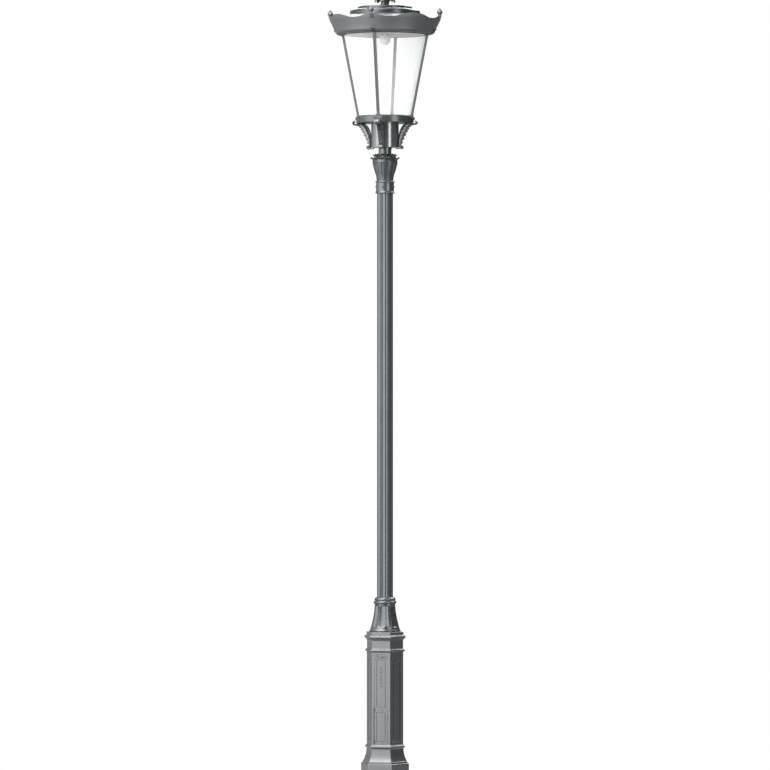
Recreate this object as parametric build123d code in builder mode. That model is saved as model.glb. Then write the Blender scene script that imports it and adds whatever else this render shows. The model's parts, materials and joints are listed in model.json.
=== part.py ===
"""A historic-style street lamp post: hexagonal base casting with a service door, fluted column,
capital, and a four-stay lantern with a clear cone and a lifting roof.

Millimetres, +Z up. The origin is on the ground at the column's axis. The door faces -Y, and two
corners of the hexagonal base lie on the X axis.
"""

from build123d import *
from math import cos, radians, sin
import os

os.makedirs("parts", exist_ok=True)

# ---- driving dimensions ----
column_radius = 51.0          # standard 102 mm column tube
column_bore = 43.0            # its inner radius
core_radius = 38.05           # 76.1 mm steel tube that carries the post
core_bore = 34.45
flute_count = 12

flange_radius = 120.0
flange_thickness = 12.0
cable_hole_radius = 30.0
anchor_circle_radius = 95.0
anchor_hole_radius = 9.0
core_top = 1700.0

# heights of the main joints between castings
plinth_block_top = 121.0
shaft_foot = 241.0
cornice_foot = 829.0
neck_foot = 960.0
neck_top = 1180.0
column_top = 3985.0
collar_foot, collar_top = 3763.0, 3843.0
capital_top = 3978.0
housing_foot, housing_top = 4058.0, 4214.0
ring_top = 4256.0
crown_foot = 4781.0
roof_foot = 4872.0
finial_foot = 4958.0
total_height = 5155.0

# hexagonal castings, as distance from the axis to a corner
plinth_corner = 158.0
shaft_corner = 120.0
cast_wall = 10.0

# lantern radii
housing_radius = 88.0
ring_radius = 184.0
glazing_foot_radius, glazing_head_radius = 166.0, 262.0
glazing_wall = 3.5
stay_foot_radius, stay_head_radius = 176.0, 279.0
crown_corner_radius, crown_lip_radius = 323.0, 358.0
crown_wall = 5.0

# service door, seen from the front
door_width, door_foot, door_head = 87.0, 246.0, 464.0
door_thickness = 5.0
door_gap = 1.0
door_axis_x = -door_width / 2 - 1.5
running_gap = 0.05            # radial clearance of a pin in its bore


def flat_of(corner):
    """Distance from the axis to a face of a hexagon with its corners this far out."""
    return corner * cos(radians(30))


face_y = -flat_of(shaft_corner)


def six_sided(profile, turns=(30, 90, 150)):
    """The solid whose six faces all follow one profile, drawn on the XZ plane across the axis."""
    with BuildPart() as solid:
        for turn in turns:
            extrude(
                profile.rotate(Axis.Z, turn),
                amount=400,
                both=True,
                mode=Mode.ADD if turn == turns[0] else Mode.INTERSECT,
            )
    return solid.part


def tube(outer, inner, foot, head):
    """A plain round tube between two heights."""
    with BuildPart() as solid:
        with BuildSketch(Plane.XY.offset(foot)):
            Circle(outer)
            Circle(inner, mode=Mode.SUBTRACT)
        extrude(amount=head - foot)
    return solid.part


def keep(builder, name):
    """Label a finished piece and write its file."""
    builder.part.label = name
    export_step(builder.part, f"parts/{name}.step")


# ======================================================================
# Foundation steelwork
# ======================================================================

gusset_reach, gusset_height, gusset_thickness = 92.0, 70.0, 8.0

with BuildPart() as ground_flange:
    for turn in (0, 90):
        with BuildSketch(Plane.XZ.rotated((0, 0, turn))):
            with BuildLine():
                Polyline(
                    (0, flange_thickness - 1), (gusset_reach, flange_thickness - 1),
                    (gusset_reach, flange_thickness + 12), (core_radius + 8, flange_thickness + gusset_height),
                    (0, flange_thickness + gusset_height), close=True,
                )
            make_face()
            mirror(about=Plane.YZ)
        extrude(amount=gusset_thickness / 2, both=True)
    with BuildSketch():
        Circle(core_radius)
    extrude(amount=flange_thickness + gusset_height, mode=Mode.SUBTRACT)
    with BuildSketch():
        Circle(flange_radius)
        Circle(cable_hole_radius, mode=Mode.SUBTRACT)
        with PolarLocations(anchor_circle_radius, 4, start_angle=45):
            Circle(anchor_hole_radius, mode=Mode.SUBTRACT)
    extrude(amount=flange_thickness)
keep(ground_flange, "ground_flange")

# The core tube is welded up from these lengths, foot first. Cables pass through the two that are
# slotted at the front, below and above the terminal box.
window_width = 28.0
window_feet = (190.0, 470.0)
core_joints = (flange_thickness, 190.0, 260.0, 470.0, 530.0, 1100.0, core_top)
core_lengths = []

for foot, head in zip(core_joints, core_joints[1:]):
    with BuildPart() as core_length:
        add(tube(core_radius, core_bore, foot, head))
        if foot in window_feet:
            with BuildSketch(Plane.XY.offset(foot)):
                with Locations((0, -core_radius)):
                    Rectangle(window_width, core_radius)
            extrude(amount=head - foot, mode=Mode.SUBTRACT)
    core_lengths.extend(core_length.part.solids())

core_tube = Compound(core_lengths)
core_tube.label = "core_tube"
export_step(core_tube, "parts/core_tube.step")

sleeve_height = 40.0

with BuildPart() as centring_sleeves:
    for foot in (1000.0, 1640.0):
        with BuildSketch(Plane.XY.offset(foot)):
            Circle(column_bore)
            Circle(core_radius, mode=Mode.SUBTRACT)
        extrude(amount=sleeve_height)
keep(centring_sleeves, "centring_sleeves")

# ======================================================================
# Hexagonal base: plinth, shaft and cornice castings
# ======================================================================

plinth_flat = flat_of(plinth_corner)
step_flat = flat_of(148.0)
cove_head_flat = flat_of(122.5)
plinth_ring_flat = flat_of(132.0)
inner_flat = flat_of(shaft_corner) - cast_wall

with BuildSketch(Plane.XZ) as plinth_outline:
    with BuildLine():
        Polyline((0, 0), (plinth_flat, 0), (plinth_flat, plinth_block_top - 3))
        Line((plinth_flat, plinth_block_top - 3), (plinth_flat - 3, plinth_block_top))
        Polyline((plinth_flat - 3, plinth_block_top), (step_flat, plinth_block_top), (step_flat, 131))
        Line((step_flat, 131), (step_flat - 2.5, 133))
        ThreePointArc((step_flat - 2.5, 133), (112.5, 166.5), (cove_head_flat, 205))
        Line((cove_head_flat, 205), (cove_head_flat, 213))
        ThreePointArc((cove_head_flat, 213), (cove_head_flat + 2.5, 218.5), (plinth_ring_flat - 3, 221))
        ThreePointArc((plinth_ring_flat - 3, 221), (plinth_ring_flat, 227), (plinth_ring_flat - 3, 233))
        ThreePointArc((plinth_ring_flat - 3, 233), (cove_head_flat + 2, 235.5), (104.5, shaft_foot))
        Polyline((104.5, shaft_foot), (0, shaft_foot), (0, 0))
    make_face()
    mirror(about=Plane.YZ)

with BuildSketch(Plane.XZ) as plinth_hollow:
    with BuildLine():
        Polyline((0, 0), (plinth_flat - 9, 0), (plinth_flat - 9, 110), (106, 135))
        Polyline((106, 135), (inner_flat, 190), (inner_flat, shaft_foot), (0, shaft_foot), (0, 0))
    make_face()
    mirror(about=Plane.YZ)

plinth_solid = six_sided(plinth_outline.sketch)
plinth_space = six_sided(plinth_hollow.sketch)

with BuildPart() as base_plinth:
    add(plinth_solid)
    add(plinth_space, mode=Mode.SUBTRACT)
keep(base_plinth, "base_plinth")

# ---- shaft with sunk panels and the door opening ----
panel_width, groove_width, groove_depth = 60.0, 4.0, 2.5
frame_width, frame_depth = 87.0, 1.2
clear_half_width = 37.0
clear_foot, clear_head = door_foot + 6, door_head - 6
notch_edge, notch_foot, notch_head = 44.0, 344.0, 382.0
barrel_radius, barrel_length = 4.2, 14.0
door_axis_y = face_y - 2.1
lug_height = 11.0
lower_lug_foot = door_foot + 1
lower_barrel_foot = lower_lug_foot + lug_height + 0.3

with BuildSketch(Plane.XY.offset(shaft_foot)) as shaft_section:
    RegularPolygon(shaft_corner, 6)
    RegularPolygon(shaft_corner - cast_wall / cos(radians(30)), 6, mode=Mode.SUBTRACT)


def face_plane(turn):
    """A plane on one face of the shaft: x runs along the face, y is height, z points outwards."""
    outwards = Vector(sin(radians(turn)), -cos(radians(turn)), 0)
    return Plane(origin=outwards * flat_of(shaft_corner), x_dir=(cos(radians(turn)), sin(radians(turn)), 0),
                 z_dir=outwards)


with BuildPart() as base_shaft:
    extrude(shaft_section.sketch, amount=cornice_foot - shaft_foot)
    for turn in (0, 60, 120, 180, 240, 300):
        low, high = (478.0, 782.0) if turn == 0 else (275.0, 782.0)
        frame_low = door_head + 6 if turn == 0 else 262.0
        with BuildSketch(face_plane(turn)):
            with Locations((0, (frame_low + 818) / 2)):
                Rectangle(frame_width, 818 - frame_low)
        extrude(amount=-frame_depth, mode=Mode.SUBTRACT)
        with BuildSketch(face_plane(turn)):
            with Locations((0, (low + high) / 2)):
                Rectangle(panel_width, high - low)
                Rectangle(panel_width - 2 * groove_width, high - low - 2 * groove_width, mode=Mode.SUBTRACT)
        extrude(amount=-frame_depth - groove_depth, mode=Mode.SUBTRACT)
    # door rebate and clear opening
    with BuildSketch(face_plane(0)):
        with Locations((0, (door_foot + door_head) / 2)):
            Rectangle(door_width + 2 * door_gap + 0.6, door_head - door_foot + 2 * door_gap)
    extrude(amount=-door_thickness - 0.3, mode=Mode.SUBTRACT)
    with BuildSketch(face_plane(0)):
        with Locations((0, (clear_foot + clear_head) / 2)):
            Rectangle(2 * clear_half_width, clear_head - clear_foot)
        with Locations(((clear_half_width + notch_edge) / 2, (notch_foot + notch_head) / 2)):
            Rectangle(notch_edge - clear_half_width, notch_head - notch_foot)
    extrude(amount=-cast_wall - 2, mode=Mode.SUBTRACT)
    # groove in the stile where the door's barrels turn
    with BuildSketch(Plane.XY.offset(lower_barrel_foot - 0.3)):
        with Locations((door_axis_x, door_axis_y)):
            Circle(barrel_radius + 0.8)
    extrude(amount=door_head + door_gap - lower_barrel_foot + 0.3, mode=Mode.SUBTRACT)
keep(base_shaft, "base_shaft")

# ---- cornice: ring, frieze, larger ring and top block ----
frieze_flat = flat_of(119.0)
lower_ring_flat = flat_of(131.0)
upper_ring_flat = flat_of(136.0)
block_flat = flat_of(122.0)

with BuildSketch(Plane.XZ) as cornice_outline:
    with BuildLine():
        Polyline((0, cornice_foot), (104.5, cornice_foot))
        ThreePointArc((104.5, cornice_foot), (107.5, 834), (lower_ring_flat - 3, 836))
        ThreePointArc((lower_ring_flat - 3, 836), (lower_ring_flat, 842), (lower_ring_flat - 3, 848))
        ThreePointArc((lower_ring_flat - 3, 848), (106.5, 850), (frieze_flat, 856))
        Line((frieze_flat, 856), (frieze_flat, 902))
        ThreePointArc((frieze_flat, 902), (105.5, 911), (upper_ring_flat - 4, 919))
        ThreePointArc((upper_ring_flat - 4, 919), (upper_ring_flat, 927), (upper_ring_flat - 3, 935))
        Polyline((upper_ring_flat - 3, 935), (block_flat + 1, 940), (block_flat, 941))
        Polyline((block_flat, 941), (block_flat, neck_foot - 1.5), (block_flat - 1.5, neck_foot))
        Polyline((block_flat - 1.5, neck_foot), (0, neck_foot), (0, cornice_foot))
    make_face()
    mirror(about=Plane.YZ)

with BuildSketch(Plane.XZ) as cornice_hollow:
    with BuildLine():
        Polyline((0, cornice_foot), (inner_flat, cornice_foot), (inner_flat, neck_foot - 22))
        Polyline((inner_flat, neck_foot - 22), (inner_flat - 10, neck_foot - 12), (0, neck_foot - 12))
        Line((0, neck_foot - 12), (0, cornice_foot))
    make_face()
    mirror(about=Plane.YZ)

cornice_solid = six_sided(cornice_outline.sketch)
cornice_space = six_sided(cornice_hollow.sketch)

with BuildPart() as base_cornice:
    add(cornice_solid)
    add(cornice_space, mode=Mode.SUBTRACT)
    with BuildSketch(Plane.XY.offset(neck_foot - 20)):
        Circle(core_radius + 2)
    extrude(amount=30, mode=Mode.SUBTRACT)
keep(base_cornice, "base_cornice")

# ---- cartouche: a lozenge between two leaf scrolls, above the upper panel ----
cartouche_height = 802.0
cartouche_face = Plane(origin=(0, face_y + frame_depth, 0), x_dir=(1, 0, 0), z_dir=(0, -1, 0))

with BuildPart() as cartouche:
    with BuildSketch(cartouche_face):
        with BuildLine():
            Polyline(
                (-11, cartouche_height), (0, cartouche_height + 12), (11, cartouche_height),
                (0, cartouche_height - 12), close=True,
            )
        make_face()
        for side in (-1, 1):
            for step in range(3):
                with Locations((side * (16 + 9 * step), cartouche_height)):
                    Ellipse(6.5, 7.5 - 1.8 * step)
    extrude(amount=3)
keep(cartouche, "cartouche")

# ======================================================================
# Service door, its hinges and its lock
# ======================================================================

lock_x, lock_z, lock_radius = 36.8, 356.0, 5.5
pin_radius = 2.0

with BuildPart() as service_door:
    with BuildSketch(face_plane(0)):
        with Locations((0, (door_foot + door_head) / 2)):
            Rectangle(door_width, door_head - door_foot)
    extrude(amount=-door_thickness)
    with BuildSketch(face_plane(0)):
        with Locations((0, (261 + 448) / 2)):
            Rectangle(panel_width, 448 - 261)
            Rectangle(panel_width - 2 * groove_width, 448 - 261 - 2 * groove_width, mode=Mode.SUBTRACT)
    extrude(amount=-groove_depth, mode=Mode.SUBTRACT)
    with BuildSketch(Plane.XY.offset(door_foot - 1)):
        with Locations((door_axis_x, door_axis_y)):
            Circle(barrel_radius + 0.8)
    extrude(amount=lower_barrel_foot - door_foot + 1, mode=Mode.SUBTRACT)
    for foot in (lower_barrel_foot, door_head - 0.3 - barrel_length):
        with BuildSketch(Plane.XY.offset(foot)):
            with Locations((door_axis_x, door_axis_y)):
                Circle(barrel_radius)
            with Locations((door_axis_x + 2.6, face_y + 0.4)):
                Rectangle(5.2, 4.6)
        extrude(amount=barrel_length)
        with BuildSketch(Plane.XY.offset(foot - 1)):
            with Locations((door_axis_x, door_axis_y)):
                Circle(pin_radius + running_gap)
        extrude(amount=barrel_length + 2, mode=Mode.SUBTRACT)
    with BuildSketch(face_plane(0)):
        with Locations((lock_x, lock_z)):
            Circle(lock_radius + running_gap)
    extrude(amount=-door_thickness, mode=Mode.SUBTRACT)
keep(service_door, "service_door")

# each lug's foot, then where its pin starts and ends
hinge_lugs = (
    (lower_lug_foot, lower_lug_foot, lower_barrel_foot + 12),
    (door_head + door_gap, door_head - 12, door_head + door_gap + lug_height),
)

with BuildPart() as door_hinges:
    for lug_foot, pin_foot, pin_head in hinge_lugs:
        with BuildSketch(Plane.XY.offset(lug_foot)):
            with Locations((door_axis_x, door_axis_y)):
                Circle(barrel_radius)
            with Locations((door_axis_x - 3.6, face_y - 1.5)):
                Rectangle(7, 3)
        extrude(amount=lug_height)
        with BuildSketch(Plane.XY.offset(lug_foot - 0.1)):
            with Locations((door_axis_x, face_y + 10)):
                Rectangle(30, 20)
        extrude(amount=lug_height + 0.2, mode=Mode.SUBTRACT)
        with BuildSketch(Plane.XY.offset(pin_foot)):
            with Locations((door_axis_x, door_axis_y)):
                Circle(pin_radius)
        extrude(amount=pin_head - pin_foot)
keep(door_hinges, "door_hinges")

cam_back = face_y + cast_wall + 4.5

with BuildPart() as door_lock:
    with BuildSketch(face_plane(0)):
        with Locations((lock_x, lock_z)):
            Circle(lock_radius)
    extrude(amount=face_y - cam_back)
    with BuildSketch(Plane.XZ.offset(-cam_back)):
        with Locations((lock_x, lock_z + 4.5)):
            Rectangle(9, 23)
    extrude(amount=4)
    fillet(door_lock.edges().filter_by(Axis.Y).group_by(Axis.Z)[-1], 2)
    with BuildSketch(face_plane(0)):
        with Locations((lock_x, lock_z)):
            RegularPolygon(3.6, 3)
    extrude(amount=-3, mode=Mode.SUBTRACT)
keep(door_lock, "door_lock")

# ======================================================================
# Terminal box behind the door
# ======================================================================

box_foot, box_head = 322.0, 448.0
box_back_y = -44.0

with BuildPart() as terminal_case:
    # saddle against the core tube
    with BuildSketch(Plane.XY.offset(box_foot + 14)):
        with Locations((0, (box_back_y - 30) / 2)):
            Rectangle(36, box_back_y * -1 - 30)
        Circle(core_radius, mode=Mode.SUBTRACT)
    extrude(amount=box_head - box_foot - 28)
    # back plate and gland shelf
    with BuildSketch(Plane.XY.offset(box_foot)):
        with Locations((0, box_back_y - 1.5)):
            Rectangle(62, 3)
    extrude(amount=box_head - box_foot)
    with BuildSketch(Plane.XY.offset(box_foot)):
        with Locations((0, box_back_y - 18)):
            Rectangle(62, 36)
        with Locations((-16, box_back_y - 20), (16, box_back_y - 20)):
            Circle(8, mode=Mode.SUBTRACT)
    extrude(amount=4)
keep(terminal_case, "terminal_case")

with BuildPart() as cable_glands:
    for x in (-16, 16):
        with BuildSketch(Plane.XY.offset(box_foot)):
            with Locations((x, box_back_y - 20)):
                Circle(8)
                Circle(5, mode=Mode.SUBTRACT)
        extrude(amount=4)
        with BuildSketch(Plane.XY.offset(box_foot - 10)):
            with Locations((x, box_back_y - 20)):
                RegularPolygon(11, 6)
                Circle(5, mode=Mode.SUBTRACT)
        extrude(amount=10)
keep(cable_glands, "cable_glands")

with BuildPart() as terminal_block:
    with BuildSketch(Plane.XY.offset(box_foot + 46)):
        with Locations((0, box_back_y - 3 - 11)):
            Rectangle(48, 22)
    extrude(amount=24)
    with BuildSketch(Plane.XY.offset(box_foot + 38)):
        with GridLocations(12, 1, 4, 1):
            with Locations((0, box_back_y - 3 - 9)):
                Rectangle(7, 12)
    extrude(amount=8)
keep(terminal_block, "terminal_block")

with BuildPart() as fuse_carriers:
    with BuildSketch(Plane.XY.offset(box_foot + 76)):
        with Locations((-12, box_back_y - 3 - 13), (12, box_back_y - 3 - 13)):
            RectangleRounded(20, 26, 3)
    extrude(amount=40)
keep(fuse_carriers, "fuse_carriers")

cover_half_width, cover_wall = 35.0, 2.4
cover_front_y = box_back_y - 42.0

with BuildPart() as terminal_cover:
    with BuildSketch(Plane.XY.offset(box_foot - 1)):
        with Locations((0, (cover_front_y + box_back_y) / 2)):
            Rectangle(2 * cover_half_width, box_back_y - cover_front_y)
        with Locations((0, (cover_front_y + cover_wall + box_back_y) / 2)):
            Rectangle(2 * (cover_half_width - cover_wall), box_back_y - cover_front_y - cover_wall,
                      mode=Mode.SUBTRACT)
    extrude(amount=box_head - box_foot + 1.5)
    with BuildSketch(Plane.XY.offset(box_head + 0.5)):
        with Locations((0, (cover_front_y + box_back_y) / 2)):
            Rectangle(2 * cover_half_width, box_back_y - cover_front_y)
    extrude(amount=cover_wall)
    with BuildSketch(Plane.XZ.offset(-cover_front_y)):
        with Locations((0, box_foot + 20)):
            RectangleRounded(40, 5, 2)
    extrude(amount=2)
keep(terminal_cover, "terminal_cover")

with BuildPart() as earth_stud:
    with BuildSketch(Plane.XZ.offset(core_radius)):
        with Locations((0, 286)):
            Circle(4)
    extrude(amount=20)
    with BuildSketch(Plane.XZ.offset(core_radius + 6)):
        with Locations((0, 286)):
            RegularPolygon(7.5, 6)
    extrude(amount=6.5)
keep(earth_stud, "earth_stud")

# ======================================================================
# Fluted neck and column
# ======================================================================

with BuildSketch(Plane.XZ) as neck_outline:
    with BuildLine():
        Polyline((column_radius + 0.1, 1100), (80, neck_foot), (97, neck_foot))
        ThreePointArc((97, neck_foot), (99.8, 966), (97, 973))
        Polyline((97, 973), (94, 977), (93, 982))
        Spline(
            (93, 982), (82.6, 1021), (73.9, 1059), (68.5, 1098), (66, 1136),
            tangents=((-0.30, 1), (-0.03, 1)),
        )
        Line((66, 1136), (69.5, 1139))
        ThreePointArc((69.5, 1139), (73.2, 1147), (69.5, 1155))
        Line((69.5, 1155), (65.5, 1158))
        ThreePointArc((65.5, 1158), (67.5, 1167), (62, 1176))
        Polyline((62, 1176), (57, neck_top), (column_radius + 0.1, neck_top), (column_radius + 0.1, 1100))
    make_face()

flute_cutter, flute_depth = 22.0, 4.5
flute_shift = flute_cutter - flute_depth

with BuildPart() as neck_flute:
    with BuildLine(Plane.XZ) as flute_path:
        ThreePointArc((91 + flute_shift, 1000), (74 + flute_shift, 1062), (67 + flute_shift, 1120))
    with BuildSketch(Plane(origin=flute_path.line @ 0, z_dir=flute_path.line % 0)):
        Circle(flute_cutter)
    sweep(path=flute_path.line)
    for end in (flute_path.line @ 0, flute_path.line @ 1):
        with Locations(end):
            Sphere(flute_cutter)

with BuildPart() as bell_neck:
    revolve(neck_outline.sketch, axis=Axis.Z)
    with PolarLocations(0, flute_count):
        add(neck_flute.part, mode=Mode.SUBTRACT)
keep(bell_neck, "bell_neck")

column_flute_radius, column_flute_depth = 31.2, 3.6

with BuildPart() as column_tube:
    with BuildSketch(Plane.XY.offset(neck_foot)):
        Circle(column_radius)
        with PolarLocations(column_radius - column_flute_depth + column_flute_radius, flute_count):
            Circle(column_flute_radius, mode=Mode.SUBTRACT)
        Circle(column_bore, mode=Mode.SUBTRACT)
    extrude(amount=column_top - neck_foot)
keep(column_tube, "column_tube")

# ======================================================================
# Collar, capital and lantern spigot
# ======================================================================

stud_height = 3805.0

with BuildSketch(Plane.XZ) as collar_outline:
    bore = column_radius + 0.1
    with BuildLine():
        Polyline((bore, collar_top), (bore, collar_foot), (59, collar_foot))
        ThreePointArc((59, collar_foot), (62, collar_foot + 5), (59, collar_foot + 10))
        Polyline(
            (59, collar_foot + 10), (57.5, collar_foot + 14), (57.5, collar_top - 14), (59, collar_top - 10),
        )
        ThreePointArc((59, collar_top - 10), (62, collar_top - 5), (59, collar_top))
        Line((59, collar_top), (bore, collar_top))
    make_face()

with BuildPart() as collar:
    revolve(collar_outline.sketch, axis=Axis.Z)
keep(collar, "collar")

with BuildPart() as collar_studs:
    with Locations(Location((0, 0, stud_height))):
        with PolarLocations(54.5, 4):
            Sphere(9)
    with BuildSketch(Plane.XY.offset(stud_height - 20)):
        Circle(57.5)
    extrude(amount=40, mode=Mode.SUBTRACT)
keep(collar_studs, "collar_studs")

with BuildSketch(Plane.XZ) as capital_outline:
    with BuildLine():
        Polyline((bore, collar_top), (54, collar_top))
        Spline(
            (54, collar_top), (57, 3875), (65.5, 3901), (76, 3939), (81, 3965),
            tangents=((0.05, 1), (0.1, 1)),
        )
        Polyline((81, 3965), (79, capital_top), (68, capital_top + 6), (58, capital_top + 34))
        Polyline((58, capital_top + 34), (42, capital_top + 34), (42, column_top), (bore, column_top))
        Line((bore, column_top), (bore, collar_top))
    make_face()

with BuildPart() as capital_flute:
    with BuildLine(Plane.XZ) as capital_path:
        Line((57 + 11.5, 3862), (78 + 11.5, 3948))
    with BuildSketch(Plane(origin=capital_path.line @ 0, z_dir=capital_path.line % 0)):
        Circle(15)
    sweep(path=capital_path.line)
    with Locations(capital_path.line @ 1):
        Sphere(15)
    with Locations(capital_path.line @ 0):
        Sphere(15)

with BuildPart() as capital:
    revolve(capital_outline.sketch, axis=Axis.Z)
    with PolarLocations(0, flute_count):
        add(capital_flute.part, mode=Mode.SUBTRACT)
keep(capital, "capital")

leaf_count = 12

with BuildSketch(Plane.XZ) as leaf_outline:
    with BuildLine():
        Polyline((70, capital_top + 7), (80, capital_top + 1.5))
        ThreePointArc((80, capital_top + 1.5), (90, capital_top + 8), (86, capital_top + 15))
        Polyline(
            (86, capital_top + 15), (74, capital_top + 20), (64, capital_top + 38), (59, capital_top + 38),
        )
        Line((59, capital_top + 38), (70, capital_top + 7))
    make_face()

with BuildPart() as capital_leaves:
    revolve(leaf_outline.sketch, axis=Axis.Z)
    with BuildSketch(Plane.XY.offset(capital_top)):
        with PolarLocations(94, leaf_count, start_angle=15):
            Circle(9)
    extrude(amount=20, mode=Mode.SUBTRACT)
keep(capital_leaves, "capital_leaves")

spigot_radius, spigot_bore = 41.0, 32.0

with BuildPart() as lantern_spigot:
    add(tube(spigot_radius, spigot_bore, 3930, housing_foot))
keep(lantern_spigot, "lantern_spigot")

# ======================================================================
# Gear housing
# ======================================================================

gland_hole_radius = 10.0

with BuildPart() as gear_housing:
    with BuildSketch(Plane.XY.offset(housing_foot)):
        Circle(housing_radius)
        Circle(24, mode=Mode.SUBTRACT)
    extrude(amount=6)
    add(tube(housing_radius, housing_radius - 4, housing_foot + 6, housing_top))
keep(gear_housing, "gear_housing")

with BuildPart() as gear_tray:
    with BuildSketch(Plane.XY.offset(housing_foot + 14)):
        Rectangle(120, 84)
        Circle(24, mode=Mode.SUBTRACT)
    extrude(amount=2.5)
    with BuildSketch(Plane.XY.offset(housing_foot + 6)):
        with GridLocations(100, 60, 2, 2):
            Circle(5)
    extrude(amount=8)
keep(gear_tray, "gear_tray")

with BuildPart() as ballast:
    with BuildSketch(Plane.XY.offset(housing_foot + 16.5)):
        with Locations((-42, 0)):
            RectangleRounded(34, 62, 3)
    extrude(amount=110)
keep(ballast, "ballast")

with BuildPart() as ignitor:
    with BuildSketch(Plane.XY.offset(housing_foot + 16.5)):
        with Locations((42, -16)):
            RectangleRounded(32, 28, 3)
    extrude(amount=78)
keep(ignitor, "ignitor")

with BuildPart() as capacitor:
    with BuildSketch(Plane.XY.offset(housing_foot + 16.5)):
        with Locations((42, 20)):
            Circle(15)
    extrude(amount=92)
    fillet(capacitor.edges().filter_by(GeomType.CIRCLE).group_by(Axis.Z)[-1], 3)
keep(capacitor, "capacitor")

# ======================================================================
# Console brackets
# ======================================================================

bracket_inner = housing_radius + 0.1
bracket_top = housing_top - 0.2

with BuildSketch(Plane.XZ) as bracket_outline:
    with BuildLine():
        Polyline((130, bracket_top), (205, bracket_top), (214, bracket_top - 5), (206, bracket_top - 16))
        Polyline((206, bracket_top - 16), (172, bracket_top - 13), (160, 4182), (150, 4165), (138, 4142))
        Polyline((138, 4142), (124, 4116), (112, 4090), (118, 4070))
        ThreePointArc((118, 4070), (122, 4056), (110, 4044))
        ThreePointArc((110, 4044), (98, 4052), (bracket_inner, 4068))
        Line((bracket_inner, 4068), (bracket_inner, 4132))
        ThreePointArc((bracket_inner, 4132), (102, 4176), (130, bracket_top))
    make_face()

for index in range(4):
    with BuildPart() as bracket:
        extrude(bracket_outline.sketch, amount=18, both=True)
        with BuildSketch(Plane.XY.offset(4040)):
            Circle(bracket_inner)
        extrude(amount=175, mode=Mode.SUBTRACT)
    bracket.part = bracket.part.rotate(Axis.Z, 90 * index)
    keep(bracket, f"bracket_{index + 1}")

# ======================================================================
# Lantern: lower ring, stays, glazing
# ======================================================================

with BuildPart() as lower_ring:
    with BuildSketch(Plane.XZ):
        with BuildLine():
            Polyline(
                (gland_hole_radius, housing_top), (ring_radius - 2, housing_top),
                (ring_radius, housing_top + 2), (ring_radius, ring_top - 2), (ring_radius - 2, ring_top),
                (152, ring_top), (152, ring_top - 10), (165, ring_top - 16), (165, housing_top + 6),
                (gland_hole_radius, housing_top + 6), close=True,
            )
        make_face()
    revolve(axis=Axis.Z)
keep(lower_ring, "lower_ring")

gasket_thickness = 4.0
glazing_foot = ring_top + gasket_thickness
glazing_head = crown_foot - gasket_thickness

gasket_ring = tube(glazing_foot_radius - 0.5, 155, ring_top, glazing_foot)
with BuildPart() as glazing_gasket_lower:
    add(gasket_ring)
keep(glazing_gasket_lower, "glazing_gasket_lower")

with BuildPart() as glazing_cone:
    with BuildSketch(Plane.XZ):
        with BuildLine():
            Polyline(
                (glazing_foot_radius - glazing_wall - 4, glazing_foot), (glazing_foot_radius, glazing_foot),
                (glazing_head_radius, glazing_head - 4), (glazing_head_radius + 4, glazing_head - 4),
                (glazing_head_radius + 4, glazing_head), (glazing_head_radius - glazing_wall, glazing_head),
                (glazing_foot_radius - glazing_wall, glazing_foot + glazing_wall),
                (glazing_foot_radius - glazing_wall - 4, glazing_foot + glazing_wall), close=True,
            )
        make_face()
    revolve(axis=Axis.Z)
keep(glazing_cone, "glazing_cone")

with BuildPart() as glazing_gasket_upper:
    add(tube(glazing_head_radius + 4, glazing_head_radius - glazing_wall, glazing_head, crown_foot))
keep(glazing_gasket_upper, "glazing_gasket_upper")

stay_width, stay_depth = 18.0, 12.0
stay_lean = (stay_head_radius - stay_foot_radius) / (crown_foot - ring_top)

with BuildSketch(Plane.XZ) as stay_outline:
    with BuildLine():
        Polyline(
            (stay_foot_radius - stay_depth / 2, ring_top), (stay_foot_radius + stay_depth / 2, ring_top),
            (stay_head_radius + stay_depth / 2, crown_foot), (stay_head_radius - stay_depth / 2, crown_foot),
            close=True,
        )
    make_face()

with BuildSketch(Plane.XZ) as stay_groove:
    with BuildLine():
        foot, head = ring_top + 25, crown_foot - 25
        foot_face, head_face = (
            stay_foot_radius + stay_depth / 2 + (height - ring_top) * stay_lean for height in (foot, head)
        )
        Polyline(
            (foot_face - 2, foot), (foot_face + 5, foot), (head_face + 5, head), (head_face - 2, head),
            close=True,
        )
    make_face()

for index in range(4):
    with BuildPart() as stay:
        extrude(stay_outline.sketch, amount=stay_width / 2, both=True)
        extrude(stay_groove.sketch, amount=2.5, both=True, mode=Mode.SUBTRACT)
    stay.part = stay.part.rotate(Axis.Z, 90 * index)
    keep(stay, f"stay_{index + 1}")

# ======================================================================
# Crown band with its scalloped edge, and the four small finials
# ======================================================================

crown_edge, bump_edge, low_edge = 4893.0, 4899.0, 4872.0

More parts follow.
